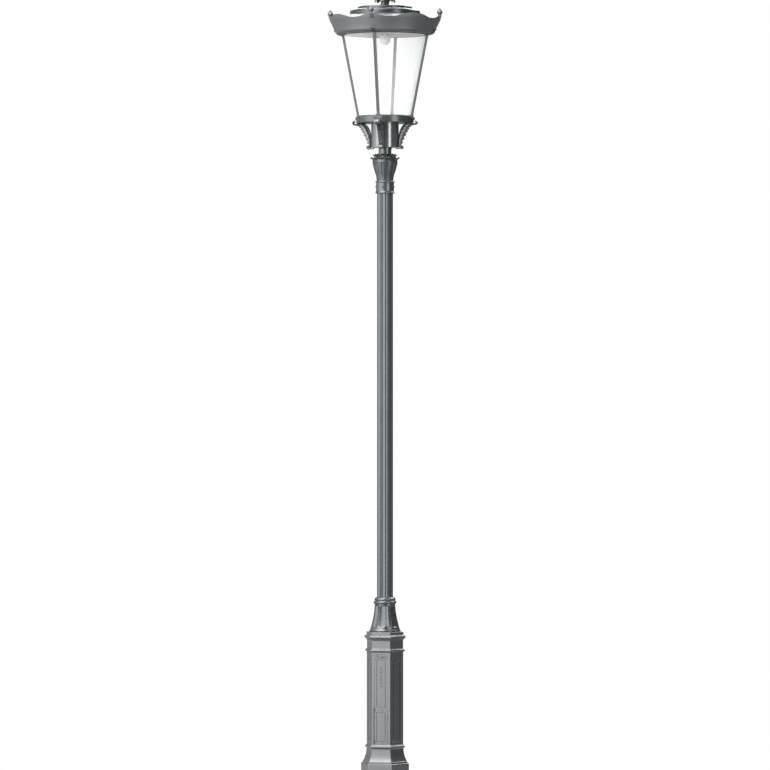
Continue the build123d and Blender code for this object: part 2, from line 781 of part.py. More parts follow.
with BuildPart() as crown_band:
    with BuildSketch(Plane.XZ):
        with BuildLine():
            Line((268, crown_foot), (292, crown_foot))
            ThreePointArc((292, crown_foot), (313, 4787), (crown_corner_radius, 4803))
            Spline(
                (crown_corner_radius, 4803), (339, 4840), (crown_lip_radius, 4880), (364, 4903),
                tangents=((0.35, 1), (0.2, 1)),
            )
            Line((364, 4903), (358.5, 4903))
            Spline(
                (358.5, 4903), (352.5, 4880), (333.6, 4841), (318, 4806),
                tangents=((-0.2, -1), (-0.35, -1)),
            )
            ThreePointArc((318, 4806), (309, 4793), (292, crown_foot + crown_wall))
            Polyline((292, crown_foot + crown_wall), (268, crown_foot + crown_wall), (268, crown_foot))
        make_face()
    revolve(axis=Axis.Z)
    # two scallops between each pair of finials, each lowest beside the finial
    for quarter in range(4):
        for hand in (-1, 1):
            middle = 90 * quarter + hand * 24
            outwards = Vector(cos(radians(middle)), sin(radians(middle)), 0)
            along = Vector(-sin(radians(middle)), cos(radians(middle)), 0)
            with BuildSketch(Plane(origin=outwards * 250, x_dir=along, z_dir=outwards)):
                with BuildLine():
                    Line((-165 * hand, crown_edge), (-128 * hand, crown_edge))
                    Spline(
                        (-128 * hand, crown_edge), (-34 * hand, low_edge), (133 * hand, bump_edge),
                        tangents=((hand, -0.3), (hand, 0.0)),
                    )
                    Polyline(
                        (133 * hand, bump_edge), (133 * hand, 4920), (-165 * hand, 4920),
                        (-165 * hand, crown_edge),
                    )
                make_face()
            extrude(amount=150, mode=Mode.SUBTRACT)
keep(crown_band, "crown_band")

# finials: a short stem, a bud and a pointed tip
finial_seat = 361.0

for index in range(4):
    turn = 90 * index
    with BuildPart() as small_finial:
        with BuildSketch(Plane.XZ):
            with BuildLine():
                Polyline((0, crown_edge), (12, crown_edge), (11, crown_edge + 4), (10, crown_edge + 7))
                Spline(
                    (10, crown_edge + 7), (17.5, crown_edge + 22), (11, crown_edge + 38), (0, crown_edge + 50),
                    tangents=((0.5, 1), (-0.6, 1)),
                )
                Line((0, crown_edge + 50), (0, crown_edge))
            make_face()
        revolve(axis=Axis.Z)
    seat = Location((finial_seat * cos(radians(turn)), finial_seat * sin(radians(turn)), 0))
    small_finial.part = small_finial.part.moved(seat)
    keep(small_finial, f"small_finial_{index + 1}")

# ======================================================================
# Lamp tray: the roof carries the reflector and the lamp, so they lift together
# ======================================================================

reflector_top = crown_foot + crown_wall + 5.0
reflector_radius = 259.0
holder_radius, holder_foot, holder_height = 22.0, 4792.0, 62.0
lamp_radius, lamp_foot = 36.0, 4714.0
lamp_hole_radius = 24.0
globe_end = (lamp_radius * cos(radians(44)), lamp_foot + lamp_radius * (1 + sin(radians(44))))

with BuildPart() as roof_gasket:
    add(tube(284, 270, crown_foot + crown_wall, crown_foot + crown_wall + 2.5))
keep(roof_gasket, "roof_gasket")

with BuildPart() as reflector_plate:
    with BuildSketch(Plane.XZ):
        with BuildLine():
            Polyline(
                (lamp_hole_radius, 4782), (reflector_radius - 30, 4782), (reflector_radius - 1, 4779),
                (reflector_radius, crown_foot + crown_wall + 2.8), (286, crown_foot + crown_wall + 2.8),
                (286, reflector_top + 0.3), (reflector_radius - 3, reflector_top + 0.3),
                (reflector_radius - 30, 4785), (lamp_hole_radius, 4785), close=True,
            )
        make_face()
    revolve(axis=Axis.Z)
keep(reflector_plate, "reflector_plate")

with BuildPart() as lamp_holder:
    with BuildSketch(Plane.XY.offset(holder_foot)):
        Circle(holder_radius)
        Circle(14.3, mode=Mode.SUBTRACT)
    extrude(amount=holder_height - 12)
    with BuildSketch(Plane.XY.offset(holder_foot + holder_height - 12)):
        Circle(holder_radius)
    extrude(amount=12)
    with BuildSketch(Plane.XY.offset(4785)):
        Circle(32)
        Circle(lamp_hole_radius - 4, mode=Mode.SUBTRACT)
    extrude(amount=holder_foot - 4785)
keep(lamp_holder, "lamp_holder")

with BuildPart() as lamp:
    with BuildSketch(Plane.XZ):
        with BuildLine():
            ThreePointArc((0, lamp_foot), (lamp_radius, lamp_foot + lamp_radius), globe_end)
            ThreePointArc(globe_end, (17.5, lamp_foot + 67), (13.3, lamp_foot + 76))
            Polyline((13.3, lamp_foot + 76), (13.3, lamp_foot + 108), (0, lamp_foot + 108), (0, lamp_foot))
        make_face()
    revolve(axis=Axis.Z)
keep(lamp, "lamp")

standoff_circle = 166.0

with BuildPart() as tray_standoffs:
    with BuildSketch(Plane.XY.offset(4785)):
        with PolarLocations(standoff_circle, 4, start_angle=45):
            Circle(6)
    extrude(amount=4941 - 4785)
keep(tray_standoffs, "tray_standoffs")

# ======================================================================
# Roof: a wide skirt and two tiers, each a spun shell
# ======================================================================

sheet = 3.0
skirt_radius, lower_tier_radius, upper_tier_radius = 338.0, 224.0, 174.0
skirt_slope = 0.25             # rise of the skirt for each millimetre inwards
pin_y, pin_z, roof_pin_radius = 331.0, 4884.0, 4.0
catch_y, catch_spindle_radius = -296.0, 4.0

lower_tier_foot, lower_tier_edge, lower_tier_top = 4905.0, 4926.0, 4935.0
upper_tier_foot, upper_tier_edge = 4944.0, 4953.0

with BuildPart() as roof_skirt:
    with BuildSketch(Plane.XZ):
        with BuildLine():
            Polyline(
                (skirt_radius, roof_foot), (skirt_radius, roof_foot + 5),
                (lower_tier_radius + 2, lower_tier_foot), (lower_tier_radius - 16, lower_tier_foot),
                (lower_tier_radius - 16, lower_tier_foot - sheet),
                (lower_tier_radius + 1, lower_tier_foot - sheet), (skirt_radius - sheet, roof_foot + 1.6),
                (skirt_radius - sheet, roof_foot), close=True,
            )
        make_face()
    revolve(axis=Axis.Z)
    # room at the back for the hinge
    with BuildSketch(Plane.XY.offset(roof_foot - 10)):
        with Locations((0, pin_y - 1)):
            Rectangle(64, 30)
    extrude(amount=60, mode=Mode.SUBTRACT)
    # bore for the catch's spindle
    with BuildSketch(Plane.XY.offset(roof_foot - 10)):
        with Locations((0, catch_y)):
            Circle(catch_spindle_radius + running_gap)
    extrude(amount=60, mode=Mode.SUBTRACT)
keep(roof_skirt, "roof_skirt")

with BuildPart() as roof_tier_lower:
    with BuildSketch(Plane.XZ):
        with BuildLine():
            Line((lower_tier_radius, lower_tier_foot), (lower_tier_radius, lower_tier_edge))
            ThreePointArc(
                (lower_tier_radius, lower_tier_edge), (lower_tier_radius - 3, lower_tier_top - 3),
                (lower_tier_radius - 9, lower_tier_top),
            )
            Polyline(
                (lower_tier_radius - 9, lower_tier_top), (upper_tier_radius, upper_tier_foot),
                (upper_tier_radius - 16, upper_tier_foot), (upper_tier_radius - 16, upper_tier_foot - sheet),
                (upper_tier_radius, upper_tier_foot - sheet),
                (lower_tier_radius - 10, lower_tier_top - sheet),
            )
            ThreePointArc(
                (lower_tier_radius - 10, lower_tier_top - sheet), (lower_tier_radius - 5, 4930),
                (lower_tier_radius - sheet, lower_tier_edge),
            )
            Polyline(
                (lower_tier_radius - sheet, lower_tier_edge), (lower_tier_radius - sheet, lower_tier_foot),
                (lower_tier_radius, lower_tier_foot),
            )
        make_face()
    revolve(axis=Axis.Z)
keep(roof_tier_lower, "roof_tier_lower")

with BuildPart() as roof_tier_upper:
    with BuildSketch(Plane.XZ):
        with BuildLine():
            Line((upper_tier_radius, upper_tier_foot), (upper_tier_radius, upper_tier_edge))
            ThreePointArc(
                (upper_tier_radius, upper_tier_edge), (upper_tier_radius - 2, 4957),
                (upper_tier_radius - 6, finial_foot),
            )
            Polyline(
                (upper_tier_radius - 6, finial_foot), (60, finial_foot + 5), (0, finial_foot + 5),
                (0, finial_foot + 5 - sheet), (60, finial_foot + 5 - sheet),
                (upper_tier_radius - 7, finial_foot - sheet), (upper_tier_radius - sheet, 4952),
                (upper_tier_radius - sheet, upper_tier_foot), (upper_tier_radius, upper_tier_foot),
            )
        make_face()
    revolve(axis=Axis.Z)
keep(roof_tier_upper, "roof_tier_upper")

# ---- top finial: turned base, a ring of leaves, and a bud ----
finial_base_foot = finial_foot + 5.0

with BuildPart() as finial_base:
    with BuildSketch(Plane.XZ):
        with BuildLine():
            Polyline((0, finial_base_foot), (44, finial_base_foot), (42, finial_base_foot + 4))
            Spline(
                (42, finial_base_foot + 4), (29, finial_base_foot + 9), (26, finial_base_foot + 20),
                (30, finial_base_foot + 32),
                tangents=((-1, 0.3), (0.4, 1)),
            )
            Polyline((30, finial_base_foot + 32), (0, finial_base_foot + 32), (0, finial_base_foot))
        make_face()
    revolve(axis=Axis.Z)
keep(finial_base, "finial_base")

leaf_foot = finial_base_foot + 32

with BuildPart() as finial_leaves:
    with BuildSketch(Plane.XZ):
        with BuildLine():
            Polyline((0, leaf_foot), (31, leaf_foot))
            Spline(
                (31, leaf_foot), (42, leaf_foot + 12), (55, leaf_foot + 18), (62, leaf_foot + 12),
                tangents=((0.5, 1), (0.3, -1)),
            )
            Spline(
                (62, leaf_foot + 12), (56, leaf_foot + 24), (40, leaf_foot + 30), (36, leaf_foot + 40),
                tangents=((0.2, 1), (0, 1)),
            )
            Polyline((36, leaf_foot + 40), (0, leaf_foot + 40), (0, leaf_foot))
        make_face()
    revolve(axis=Axis.Z)
    with BuildSketch(Plane.XY.offset(leaf_foot)):
        with PolarLocations(62, 6, start_angle=30):
            Circle(15)
    extrude(amount=35, mode=Mode.SUBTRACT)
keep(finial_leaves, "finial_leaves")

bud_foot = leaf_foot + 40

with BuildPart() as finial_bud:
    with BuildSketch(Plane.XZ):
        with BuildLine():
            Polyline((0, bud_foot), (34, bud_foot))
            Spline(
                (34, bud_foot), (41, bud_foot + 26), (26, bud_foot + 78), (0, total_height),
                tangents=((0.4, 1), (-0.6, 1)),
            )
            Line((0, total_height), (0, bud_foot))
        make_face()
    revolve(axis=Axis.Z)
keep(finial_bud, "finial_bud")

# ======================================================================
# Roof hinge at the back and roof catch at the front
# ======================================================================

knuckle_radius = 8.0
ledge = crown_foot + crown_wall

with BuildPart() as roof_hinge_bracket:
    for x in (-17.0, 17.0):
        with BuildSketch(Plane.YZ.offset(x)):
            with BuildLine():
                Polyline(
                    (287, ledge), (291, ledge), (300, ledge + 5.5), (311, ledge + 17), (321, 4850),
                    (pin_y + 5, pin_z - 6), (pin_y - 7, pin_z + 3), (310, 4862), (287, ledge + 14), close=True,
                )
            make_face()
            with Locations((pin_y, pin_z)):
                Circle(knuckle_radius)
        extrude(amount=3, both=True)
    with BuildSketch(Plane.XY.offset(ledge)):
        with Locations((0, 289)):
            Rectangle(40, 4)
    extrude(amount=12)
    with BuildSketch(Plane.YZ.offset(-22)):
        with Locations((pin_y, pin_z)):
            Circle(roof_pin_radius)
    extrude(amount=44)
keep(roof_hinge_bracket, "roof_hinge_bracket")


def skirt_top(radius):
    """Height of the skirt's upper surface at this distance from the axis."""
    return roof_foot + 5 + (skirt_radius - radius) * skirt_slope


leaf_end = 283.0

with BuildPart() as roof_hinge_leaf:
    with BuildSketch(Plane.YZ):
        with Locations((pin_y, pin_z)):
            Circle(knuckle_radius)
        with BuildLine():
            Polyline(
                (leaf_end, skirt_top(leaf_end) + 0.05), (318, skirt_top(318) + 0.05), (326, 4880),
                (pin_y, pin_z), (pin_y - 1, pin_z + 7.8), (318, skirt_top(318) + 6),
                (leaf_end, skirt_top(leaf_end) + 5), close=True,
            )
        make_face()
    extrude(amount=13, both=True)
    with BuildSketch(Plane.YZ.offset(-20)):
        with Locations((pin_y, pin_z)):
            Circle(roof_pin_radius + running_gap)
    extrude(amount=40, mode=Mode.SUBTRACT)
keep(roof_hinge_leaf, "roof_hinge_leaf")

cam_foot, cam_height, cam_reach = 4844.0, 4.0, 22.0
knob_foot = skirt_top(-catch_y - 10) + 0.3

with BuildPart() as roof_catch:
    with BuildSketch(Plane.XY.offset(cam_foot)):
        with Locations((0, catch_y)):
            Circle(catch_spindle_radius)
    extrude(amount=knob_foot - cam_foot + 3)
    with BuildSketch(Plane.XY.offset(cam_foot)):
        with Locations((cam_reach / 2 - 2, catch_y)):
            RectangleRounded(cam_reach + 4, 10, 4)
    extrude(amount=cam_height)
    with BuildSketch(Plane.XY.offset(knob_foot)):
        with Locations((0, catch_y)):
            Circle(9)
    extrude(amount=3)
    with BuildSketch(Plane.XY.offset(knob_foot + 3)):
        with Locations((0, catch_y)):
            RectangleRounded(22, 5, 2)
    extrude(amount=7)
keep(roof_catch, "roof_catch")

with BuildPart() as catch_keeper:
    with BuildSketch(Plane.YZ):
        with BuildLine():
            Polyline(
                (-287, ledge), (-291, ledge), (-300, ledge + 5.5), (-311, ledge + 17), (-325, 4846),
                (-325, cam_foot + cam_height + 5), (-303, cam_foot + cam_height + 5),
                (-303, cam_foot + cam_height + 2), (-321, cam_foot + cam_height + 2), (-321, 4838),
                (-308, ledge + 20), (-287, ledge + 7), close=True,
            )
        make_face()
    extrude(amount=9, both=True)
keep(catch_keeper, "catch_keeper")
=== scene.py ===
"""Looks of the street lamp post: painted castings, leaf work, lantern and studio."""

import json
import math

import bmesh
import bpy
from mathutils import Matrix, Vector


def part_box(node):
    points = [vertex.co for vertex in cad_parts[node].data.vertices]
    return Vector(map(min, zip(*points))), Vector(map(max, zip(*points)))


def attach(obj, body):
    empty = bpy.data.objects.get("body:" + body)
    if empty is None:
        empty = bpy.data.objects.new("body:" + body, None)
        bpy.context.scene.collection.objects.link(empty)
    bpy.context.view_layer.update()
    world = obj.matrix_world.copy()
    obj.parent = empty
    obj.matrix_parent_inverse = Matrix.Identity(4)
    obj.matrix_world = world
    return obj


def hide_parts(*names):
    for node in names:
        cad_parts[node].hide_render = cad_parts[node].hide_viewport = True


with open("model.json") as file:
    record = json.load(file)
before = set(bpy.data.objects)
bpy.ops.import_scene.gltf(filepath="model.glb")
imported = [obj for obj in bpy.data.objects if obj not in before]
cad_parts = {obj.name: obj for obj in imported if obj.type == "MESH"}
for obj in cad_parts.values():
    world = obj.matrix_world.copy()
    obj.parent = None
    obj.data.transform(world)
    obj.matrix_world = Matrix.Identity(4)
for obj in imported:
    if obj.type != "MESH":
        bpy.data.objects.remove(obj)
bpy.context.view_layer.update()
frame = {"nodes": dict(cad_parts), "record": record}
nodes = frame["nodes"]
scene = bpy.context.scene

MM = 0.001
TURN = 2 * math.pi

# ======================================================================
# Camera: level view from the front, a little to the right of the door
# ======================================================================

CAMERA_DISTANCE = 32.0
CAMERA_AZIMUTH = math.radians(14.2)
CAMERA_HEIGHT = 2.5376
VIEW_HEIGHT = 4.928           # metres that fill the picture at the column
SENSOR = 36.0

camera_data = bpy.data.cameras.new("camera")
camera_data.sensor_width = SENSOR
camera_data.lens = SENSOR * CAMERA_DISTANCE / VIEW_HEIGHT
camera_data.clip_end = 500.0
camera = bpy.data.objects.new("camera", camera_data)
camera.location = (
    CAMERA_DISTANCE * math.sin(CAMERA_AZIMUTH),
    -CAMERA_DISTANCE * math.cos(CAMERA_AZIMUTH),
    CAMERA_HEIGHT,
)
camera.rotation_euler = (math.pi / 2, 0.0, CAMERA_AZIMUTH)
scene.collection.objects.link(camera)
scene.camera = camera

# ======================================================================
# Shader node groups
# ======================================================================


def new_group(name, inputs, outputs):
    """A shader node group with the given (name, kind, default) inputs and (name, kind) outputs."""
    group = bpy.data.node_groups.new(name, "ShaderNodeTree")
    for label, kind, default in inputs:
        socket = group.interface.new_socket(label, in_out="INPUT", socket_type=kind)
        if default is not None:
            socket.default_value = default
    for label, kind in outputs:
        group.interface.new_socket(label, in_out="OUTPUT", socket_type=kind)
    return group, group.nodes.new("NodeGroupInput"), group.nodes.new("NodeGroupOutput")


def add_node(tree, kind, settings=None, **inputs):
    """A node with its settings and its socket values or links."""
    node = tree.nodes.new(kind)
    for key, value in (settings or {}).items():
        setattr(node, key, value)
    for key, value in inputs.items():
        socket = node.inputs[int(key[1:])] if key[0] == "i" and key[1:].isdigit() else node.inputs[key]
        if isinstance(value, bpy.types.NodeSocket):
            tree.links.new(value, socket)
        else:
            socket.default_value = value
    return node


def ramp(tree, source, stops, interpolation="LINEAR"):
    """A colour ramp fed by one socket; stops are (position, grey)."""
    node = tree.nodes.new("ShaderNodeValToRGB")
    node.color_ramp.interpolation = interpolation
    elements = node.color_ramp.elements
    while len(elements) < len(stops):
        elements.new(0.5)
    for element, (position, grey) in zip(elements, stops):
        element.position = position
        element.color = (grey, grey, grey, 1.0)
    tree.links.new(source, node.inputs["Fac"])
    return node.outputs["Color"]


def math_node(tree, operation, first, second=None, clamp=False):
    """The result of a Math node whose inputs are numbers or sockets."""
    node = tree.nodes.new("ShaderNodeMath")
    node.operation = operation
    node.use_clamp = clamp
    for socket, value in zip(node.inputs, (first, second)):
        if isinstance(value, bpy.types.NodeSocket):
            tree.links.new(value, socket)
        elif value is not None:
            socket.default_value = value
    return node.outputs[0]


def mix_colour(tree, factor, first, second):
    """The result of a colour Mix node whose inputs are values or sockets."""
    node = tree.nodes.new("ShaderNodeMix")
    node.data_type = "RGBA"
    for socket, value in zip((node.inputs[0], node.inputs[6], node.inputs[7]), (factor, first, second)):
        if isinstance(value, bpy.types.NodeSocket):
            tree.links.new(value, socket)
        else:
            socket.default_value = value
    return node.outputs[2]


def make_surface_grain():
    """Height of sprayed paint over a sand-cast skin: fine orange peel and slow waves."""
    group, source, result = new_group(
        "surface_grain",
        [("Fine Scale", "NodeSocketFloat", 900.0), ("Coarse Scale", "NodeSocketFloat", 60.0),
         ("Coarse Share", "NodeSocketFloat", 0.5)],
        [("Height", "NodeSocketFloat")],
    )
    place = add_node(group, "ShaderNodeTexCoord").outputs["Object"]
    fine = add_node(group, "ShaderNodeTexNoise", Vector=place, Scale=source.outputs["Fine Scale"], Detail=2.0)
    coarse = add_node(group, "ShaderNodeTexNoise", Vector=place, Scale=source.outputs["Coarse Scale"],
                      Detail=3.0)
    height = mix_colour(group, source.outputs["Coarse Share"], fine.outputs["Fac"], coarse.outputs["Fac"])
    group.links.new(height, result.inputs["Height"])
    return group


def make_weathering():
    """Slow tone change, dust on what faces up, and drip streaks down the sides, as masks from 0 to 1."""
    group, source, result = new_group(
        "weathering",
        [("Patch Scale", "NodeSocketFloat", 6.0), ("Streak Scale", "NodeSocketFloat", 30.0)],
        [("Patches", "NodeSocketFloat"), ("Dust", "NodeSocketFloat"), ("Streaks", "NodeSocketFloat")],
    )
    place = add_node(group, "ShaderNodeTexCoord").outputs["Object"]
    patches = add_node(group, "ShaderNodeTexNoise", Vector=place, Scale=source.outputs["Patch Scale"],
                       Detail=5.0, Roughness=0.6)
    group.links.new(ramp(group, patches.outputs["Fac"], [(0.3, 0.0), (0.7, 1.0)]), result.inputs["Patches"])

    normal = add_node(group, "ShaderNodeNewGeometry").outputs["Normal"]
    up = add_node(group, "ShaderNodeSeparateXYZ", Vector=normal).outputs["Z"]
    speckle = add_node(group, "ShaderNodeTexNoise", Vector=place, Scale=120.0, Detail=4.0)
    upward = ramp(group, up, [(0.25, 0.0), (0.85, 1.0)])
    spread = ramp(group, speckle.outputs["Fac"], [(0.3, 0.4), (0.65, 1.0)])
    group.links.new(math_node(group, "MULTIPLY", upward, spread), result.inputs["Dust"])

    stretched = add_node(group, "ShaderNodeMapping", Vector=place, Scale=(1.0, 1.0, 0.06))
    streak = add_node(group, "ShaderNodeTexNoise", Vector=stretched.outputs["Vector"],
                      Scale=source.outputs["Streak Scale"], Detail=3.0)
    group.links.new(ramp(group, streak.outputs["Fac"], [(0.45, 0.0), (0.75, 1.0)]), result.inputs["Streaks"])
    return group


def make_edge_wear_and_shade():
    """Masks of outward edges, rubbed thin in patches and given a painted highlight, and of hollows for
    painted shade.
    """
    group, source, result = new_group(
        "edge_wear_and_shade",
        [("Reach", "NodeSocketFloat", 0.002), ("Break Scale", "NodeSocketFloat", 80.0)],
        [("Edge Wear And Highlight", "NodeSocketFloat"), ("Hollow Shade", "NodeSocketFloat")],
    )
    true_normal = add_node(group, "ShaderNodeNewGeometry").outputs["Normal"]
    rounded = add_node(group, "ShaderNodeBevel", {"samples": 4}, Radius=source.outputs["Reach"])
    agree = add_node(group, "ShaderNodeVectorMath", {"operation": "DOT_PRODUCT"},
                     i0=rounded.outputs["Normal"], i1=true_normal)
    turned = math_node(group, "SUBTRACT", 1.0, agree.outputs["Value"])
    turned = math_node(group, "MULTIPLY", turned, 9.0, clamp=True)
    openness = add_node(group, "ShaderNodeAmbientOcclusion", {"samples": 4, "only_local": True},
                        Distance=0.012)
    exposed = ramp(group, openness.outputs["AO"], [(0.72, 0.0), (0.95, 1.0)])
    place = add_node(group, "ShaderNodeTexCoord").outputs["Object"]
    noise = add_node(group, "ShaderNodeTexNoise", Vector=place, Scale=source.outputs["Break Scale"],
                     Detail=4.0)
    broken = ramp(group, noise.outputs["Fac"], [(0.4, 0.3), (0.6, 1.0)])
    # outward edges: partly worn paint, partly painted highlight
    edge = math_node(group, "MULTIPLY", turned, broken)
    group.links.new(math_node(group, "MULTIPLY", edge, exposed), result.inputs["Edge Wear And Highlight"])
    # occlusion in the hollows, used as painted shade
    group.links.new(ramp(group, openness.outputs["AO"], [(0.3, 1.0), (0.8, 0.0)]), result.inputs["Hollow Shade"])
    return group


surface_grain = make_surface_grain()
weathering = make_weathering()
edge_wear_and_shade = make_edge_wear_and_shade()


def use_group(tree, group, **values):
    """A group node with its inputs set; an underscore in a keyword is a space in the input's name."""
    node = tree.nodes.new("ShaderNodeGroup")
    node.node_tree = group
    for key, value in values.items():
        node.inputs[key.replace("_", " ")].default_value = value
    return node


def new_material(name):
    """A material with only the Principled shader and its output, its tree, and the shader."""
    material = bpy.data.materials.new(name)
    material.use_nodes = True
    tree = material.node_tree
    return material, tree, tree.nodes["Principled BSDF"]


# ======================================================================
# Materials
# ======================================================================


ANTHRACITE = (0.150, 0.156, 0.160)
PAINT_METALLIC = 0.8          # the paint is full of mica flakes
DUST_COLOUR = (0.30, 0.30, 0.29, 1.0)


def shade(colour, factor):
    """A colour made darker or lighter, with an alpha of 1."""
    return tuple(min(1.0, factor * c) for c in colour) + (1.0,)


def grain_normal(tree, shader, strength, height, grain, **inputs):
    """Feed the shader's normal from a grain group through a bump of the given height in metres."""
    relief = add_node(tree, "ShaderNodeBump", Strength=strength, Distance=height,
                      Height=grain.outputs["Height"], **inputs)
    tree.links.new(relief.outputs["Normal"], shader.inputs["Normal"])


def paint(name, tone=1.0, rough=0.29, fine=700.0, coarse=45.0, coarse_share=0.55, bump=0.25,
          round_edges=0.0015, dust=0.25, painted_hollow_shade=0.8):
    """Anthracite mica paint: slow tone change, drips, painted shade in hollows, worn edges with painted
    highlight, dust and grain.
    """
    material, tree, shader = new_material(name)
    # tone makes lighter or darker copies of the one paint: painted light and shade
    colour = tuple(tone * c for c in ANTHRACITE)
    aging = use_group(tree, weathering)
    wear_and_shade = use_group(tree, edge_wear_and_shade)
    base = mix_colour(tree, aging.outputs["Patches"], shade(colour, 0.965), shade(colour, 1.035))
    # painted shade darkens the hollows; the lightened edges are wear and painted highlight
    for mask, strength, layer in ((aging.outputs["Streaks"], 0.18, shade(colour, 0.72)),
                                  (wear_and_shade.outputs["Hollow Shade"], painted_hollow_shade, shade(colour, 0.3)),
                                  (wear_and_shade.outputs["Edge Wear And Highlight"], 0.35, shade(colour, 1.7)),
                                  (aging.outputs["Dust"], dust, DUST_COLOUR)):
        base = mix_colour(tree, math_node(tree, "MULTIPLY", mask, strength), base, layer)
    tree.links.new(base, shader.inputs["Base Color"])
    shader.inputs["Metallic"].default_value = PAINT_METALLIC
    roughness = math_node(tree, "MULTIPLY", aging.outputs["Patches"], 0.025)
    roughness = math_node(tree, "ADD", roughness, rough)
    roughness = math_node(tree, "ADD", roughness, math_node(tree, "MULTIPLY", aging.outputs["Dust"], 0.25))
    tree.links.new(roughness, shader.inputs["Roughness"])
    grain = use_group(tree, surface_grain, Fine_Scale=fine, Coarse_Scale=coarse, Coarse_Share=coarse_share)
    soft = add_node(tree, "ShaderNodeBevel", {"samples": 4}, Radius=round_edges)
    grain_normal(tree, shader, bump, 0.0008, grain, Normal=soft.outputs["Normal"])
    return material


def plain(name, colour, metallic=0.0, rough=0.5, fine=900.0, coarse=80.0, bump=0.15, spread=0.12):
    """A simpler finish with slight tone change and grain, for steel, plastic, rubber and brass."""
    material, tree, shader = new_material(name)
    aging = use_group(tree, weathering, Patch_Scale=14.0)
    base = mix_colour(tree, aging.outputs["Patches"], shade(colour, 1 - spread), shade(colour, 1 + spread))
    tree.links.new(base, shader.inputs["Base Color"])
    shader.inputs["Metallic"].default_value = metallic
    roughness = math_node(tree, "MULTIPLY", aging.outputs["Patches"], 0.1)
    tree.links.new(math_node(tree, "ADD", roughness, rough), shader.inputs["Roughness"])
    grain = use_group(tree, surface_grain, Fine_Scale=fine, Coarse_Scale=coarse)
    grain_normal(tree, shader, bump, 0.0006, grain)
    return material


# tones below: lighter and darker copies of the one anthracite paint, part by part, as painted light and shade
base_paint = paint("base_paint")
post_paint = paint("post_paint", 0.8, fine=900.0, coarse=30.0, coarse_share=0.35, bump=0.16)
leaf_paint = paint("leaf_paint", rough=0.32, round_edges=0.0008, painted_hollow_shade=0.6)
relief_paint = paint("relief_paint", 1.3, rough=0.38, round_edges=0.0006, painted_hollow_shade=0.15)
neck_paint = paint("neck_paint", 0.85, rough=0.27, bump=0.14, round_edges=0.001, painted_hollow_shade=0.5)
crown_paint = paint("crown_paint", 0.88, rough=0.48, round_edges=0.001)
finial_paint = paint("finial_paint", 0.8, rough=0.42, round_edges=0.0006, painted_hollow_shade=0.4)
capital_paint = paint("capital_paint", 0.52, rough=0.36, round_edges=0.001, painted_hollow_shade=0.6)
lantern_paint = paint("lantern_paint", 0.66, rough=0.3, round_edges=0.001)
spun_sheet = {"fine": 900.0, "coarse": 14.0, "coarse_share": 0.6, "bump": 0.14, "dust": 0.12}
skirt_paint = paint("skirt_paint", 1.25, **spun_sheet)
roof_paint = paint("roof_paint", 0.54, **spun_sheet)
housing_paint = paint("housing_paint", 1.45, rough=0.2, fine=1000.0, coarse=30.0, bump=0.1, round_edges=0.001)
stay_paint = paint("stay_paint", 0.5, fine=1000.0, bump=0.12, round_edges=0.0008)
galvanised = plain("galvanised", (0.46, 0.48, 0.49), metallic=0.85, rough=0.42, coarse=160.0, spread=0.2)
dark_steel = plain("dark_steel", (0.13, 0.135, 0.14), metallic=0.7, rough=0.35)
brass = plain("brass", (0.20, 0.185, 0.15), metallic=0.9, rough=0.36)
sleeve_plastic = plain("sleeve_plastic", (0.03, 0.03, 0.032), rough=0.55)
seal_rubber = plain("seal_rubber", (0.02, 0.02, 0.02), rough=0.75, bump=0.3)
grey_plastic = plain("grey_plastic", (0.42, 0.43, 0.44), rough=0.45, fine=1400.0)
black_plastic = plain("black_plastic", (0.025, 0.025, 0.027), rough=0.4, fine=1400.0)
gear_metal = plain("gear_metal", (0.5, 0.51, 0.52), metallic=0.8, rough=0.4)
holder_ceramic = plain("holder_ceramic", (0.78, 0.76, 0.72), rough=0.3, spread=0.04)
reflector_white = plain("reflector_white", (0.36, 0.36, 0.357), rough=0.4, spread=0.03, bump=0.05)


def make_glazing():
    """Clear moulded plastic: mostly see-through, a faint white haze, glossy where it is seen edge on."""
    material, tree, shader = new_material("clear_glazing")
    aging = use_group(tree, weathering, Patch_Scale=5.0, Streak_Scale=22.0)
    shader.inputs["Base Color"].default_value = (0.96, 0.975, 0.98, 1.0)
    shader.inputs["Roughness"].default_value = 0.12
    shader.inputs["IOR"].default_value = 1.49
    haze = math_node(tree, "ADD", math_node(tree, "MULTIPLY", aging.outputs["Streaks"], 0.05), 0.07)
    edge = add_node(tree, "ShaderNodeLayerWeight", Blend=0.25).outputs["Facing"]
    film = math_node(tree, "ADD", haze, math_node(tree, "MULTIPLY", edge, 0.30), clamp=True)
    tree.links.new(film, shader.inputs["Alpha"])
    wave = use_group(tree, surface_grain, Fine_Scale=120.0, Coarse_Scale=9.0, Coarse_Share=0.85)
    grain_normal(tree, shader, 0.05, 0.001, wave)
    return material


def make_lamp_glass():
    """Frosted white globe."""
    material, tree, shader = new_material("lamp_glass")
    aging = use_group(tree, weathering, Patch_Scale=20.0)
    tone = mix_colour(tree, aging.outputs["Patches"], (0.55, 0.555, 0.55, 1.0), (0.60, 0.60, 0.59, 1.0))
    tree.links.new(tone, shader.inputs["Base Color"])
    shader.inputs["Roughness"].default_value = 0.35
    grain = use_group(tree, surface_grain, Fine_Scale=2500.0, Coarse_Scale=300.0)
    grain_normal(tree, shader, 0.2, 0.0003, grain)
    return material


clear_glazing = make_glazing()
lamp_glass = make_lamp_glass()

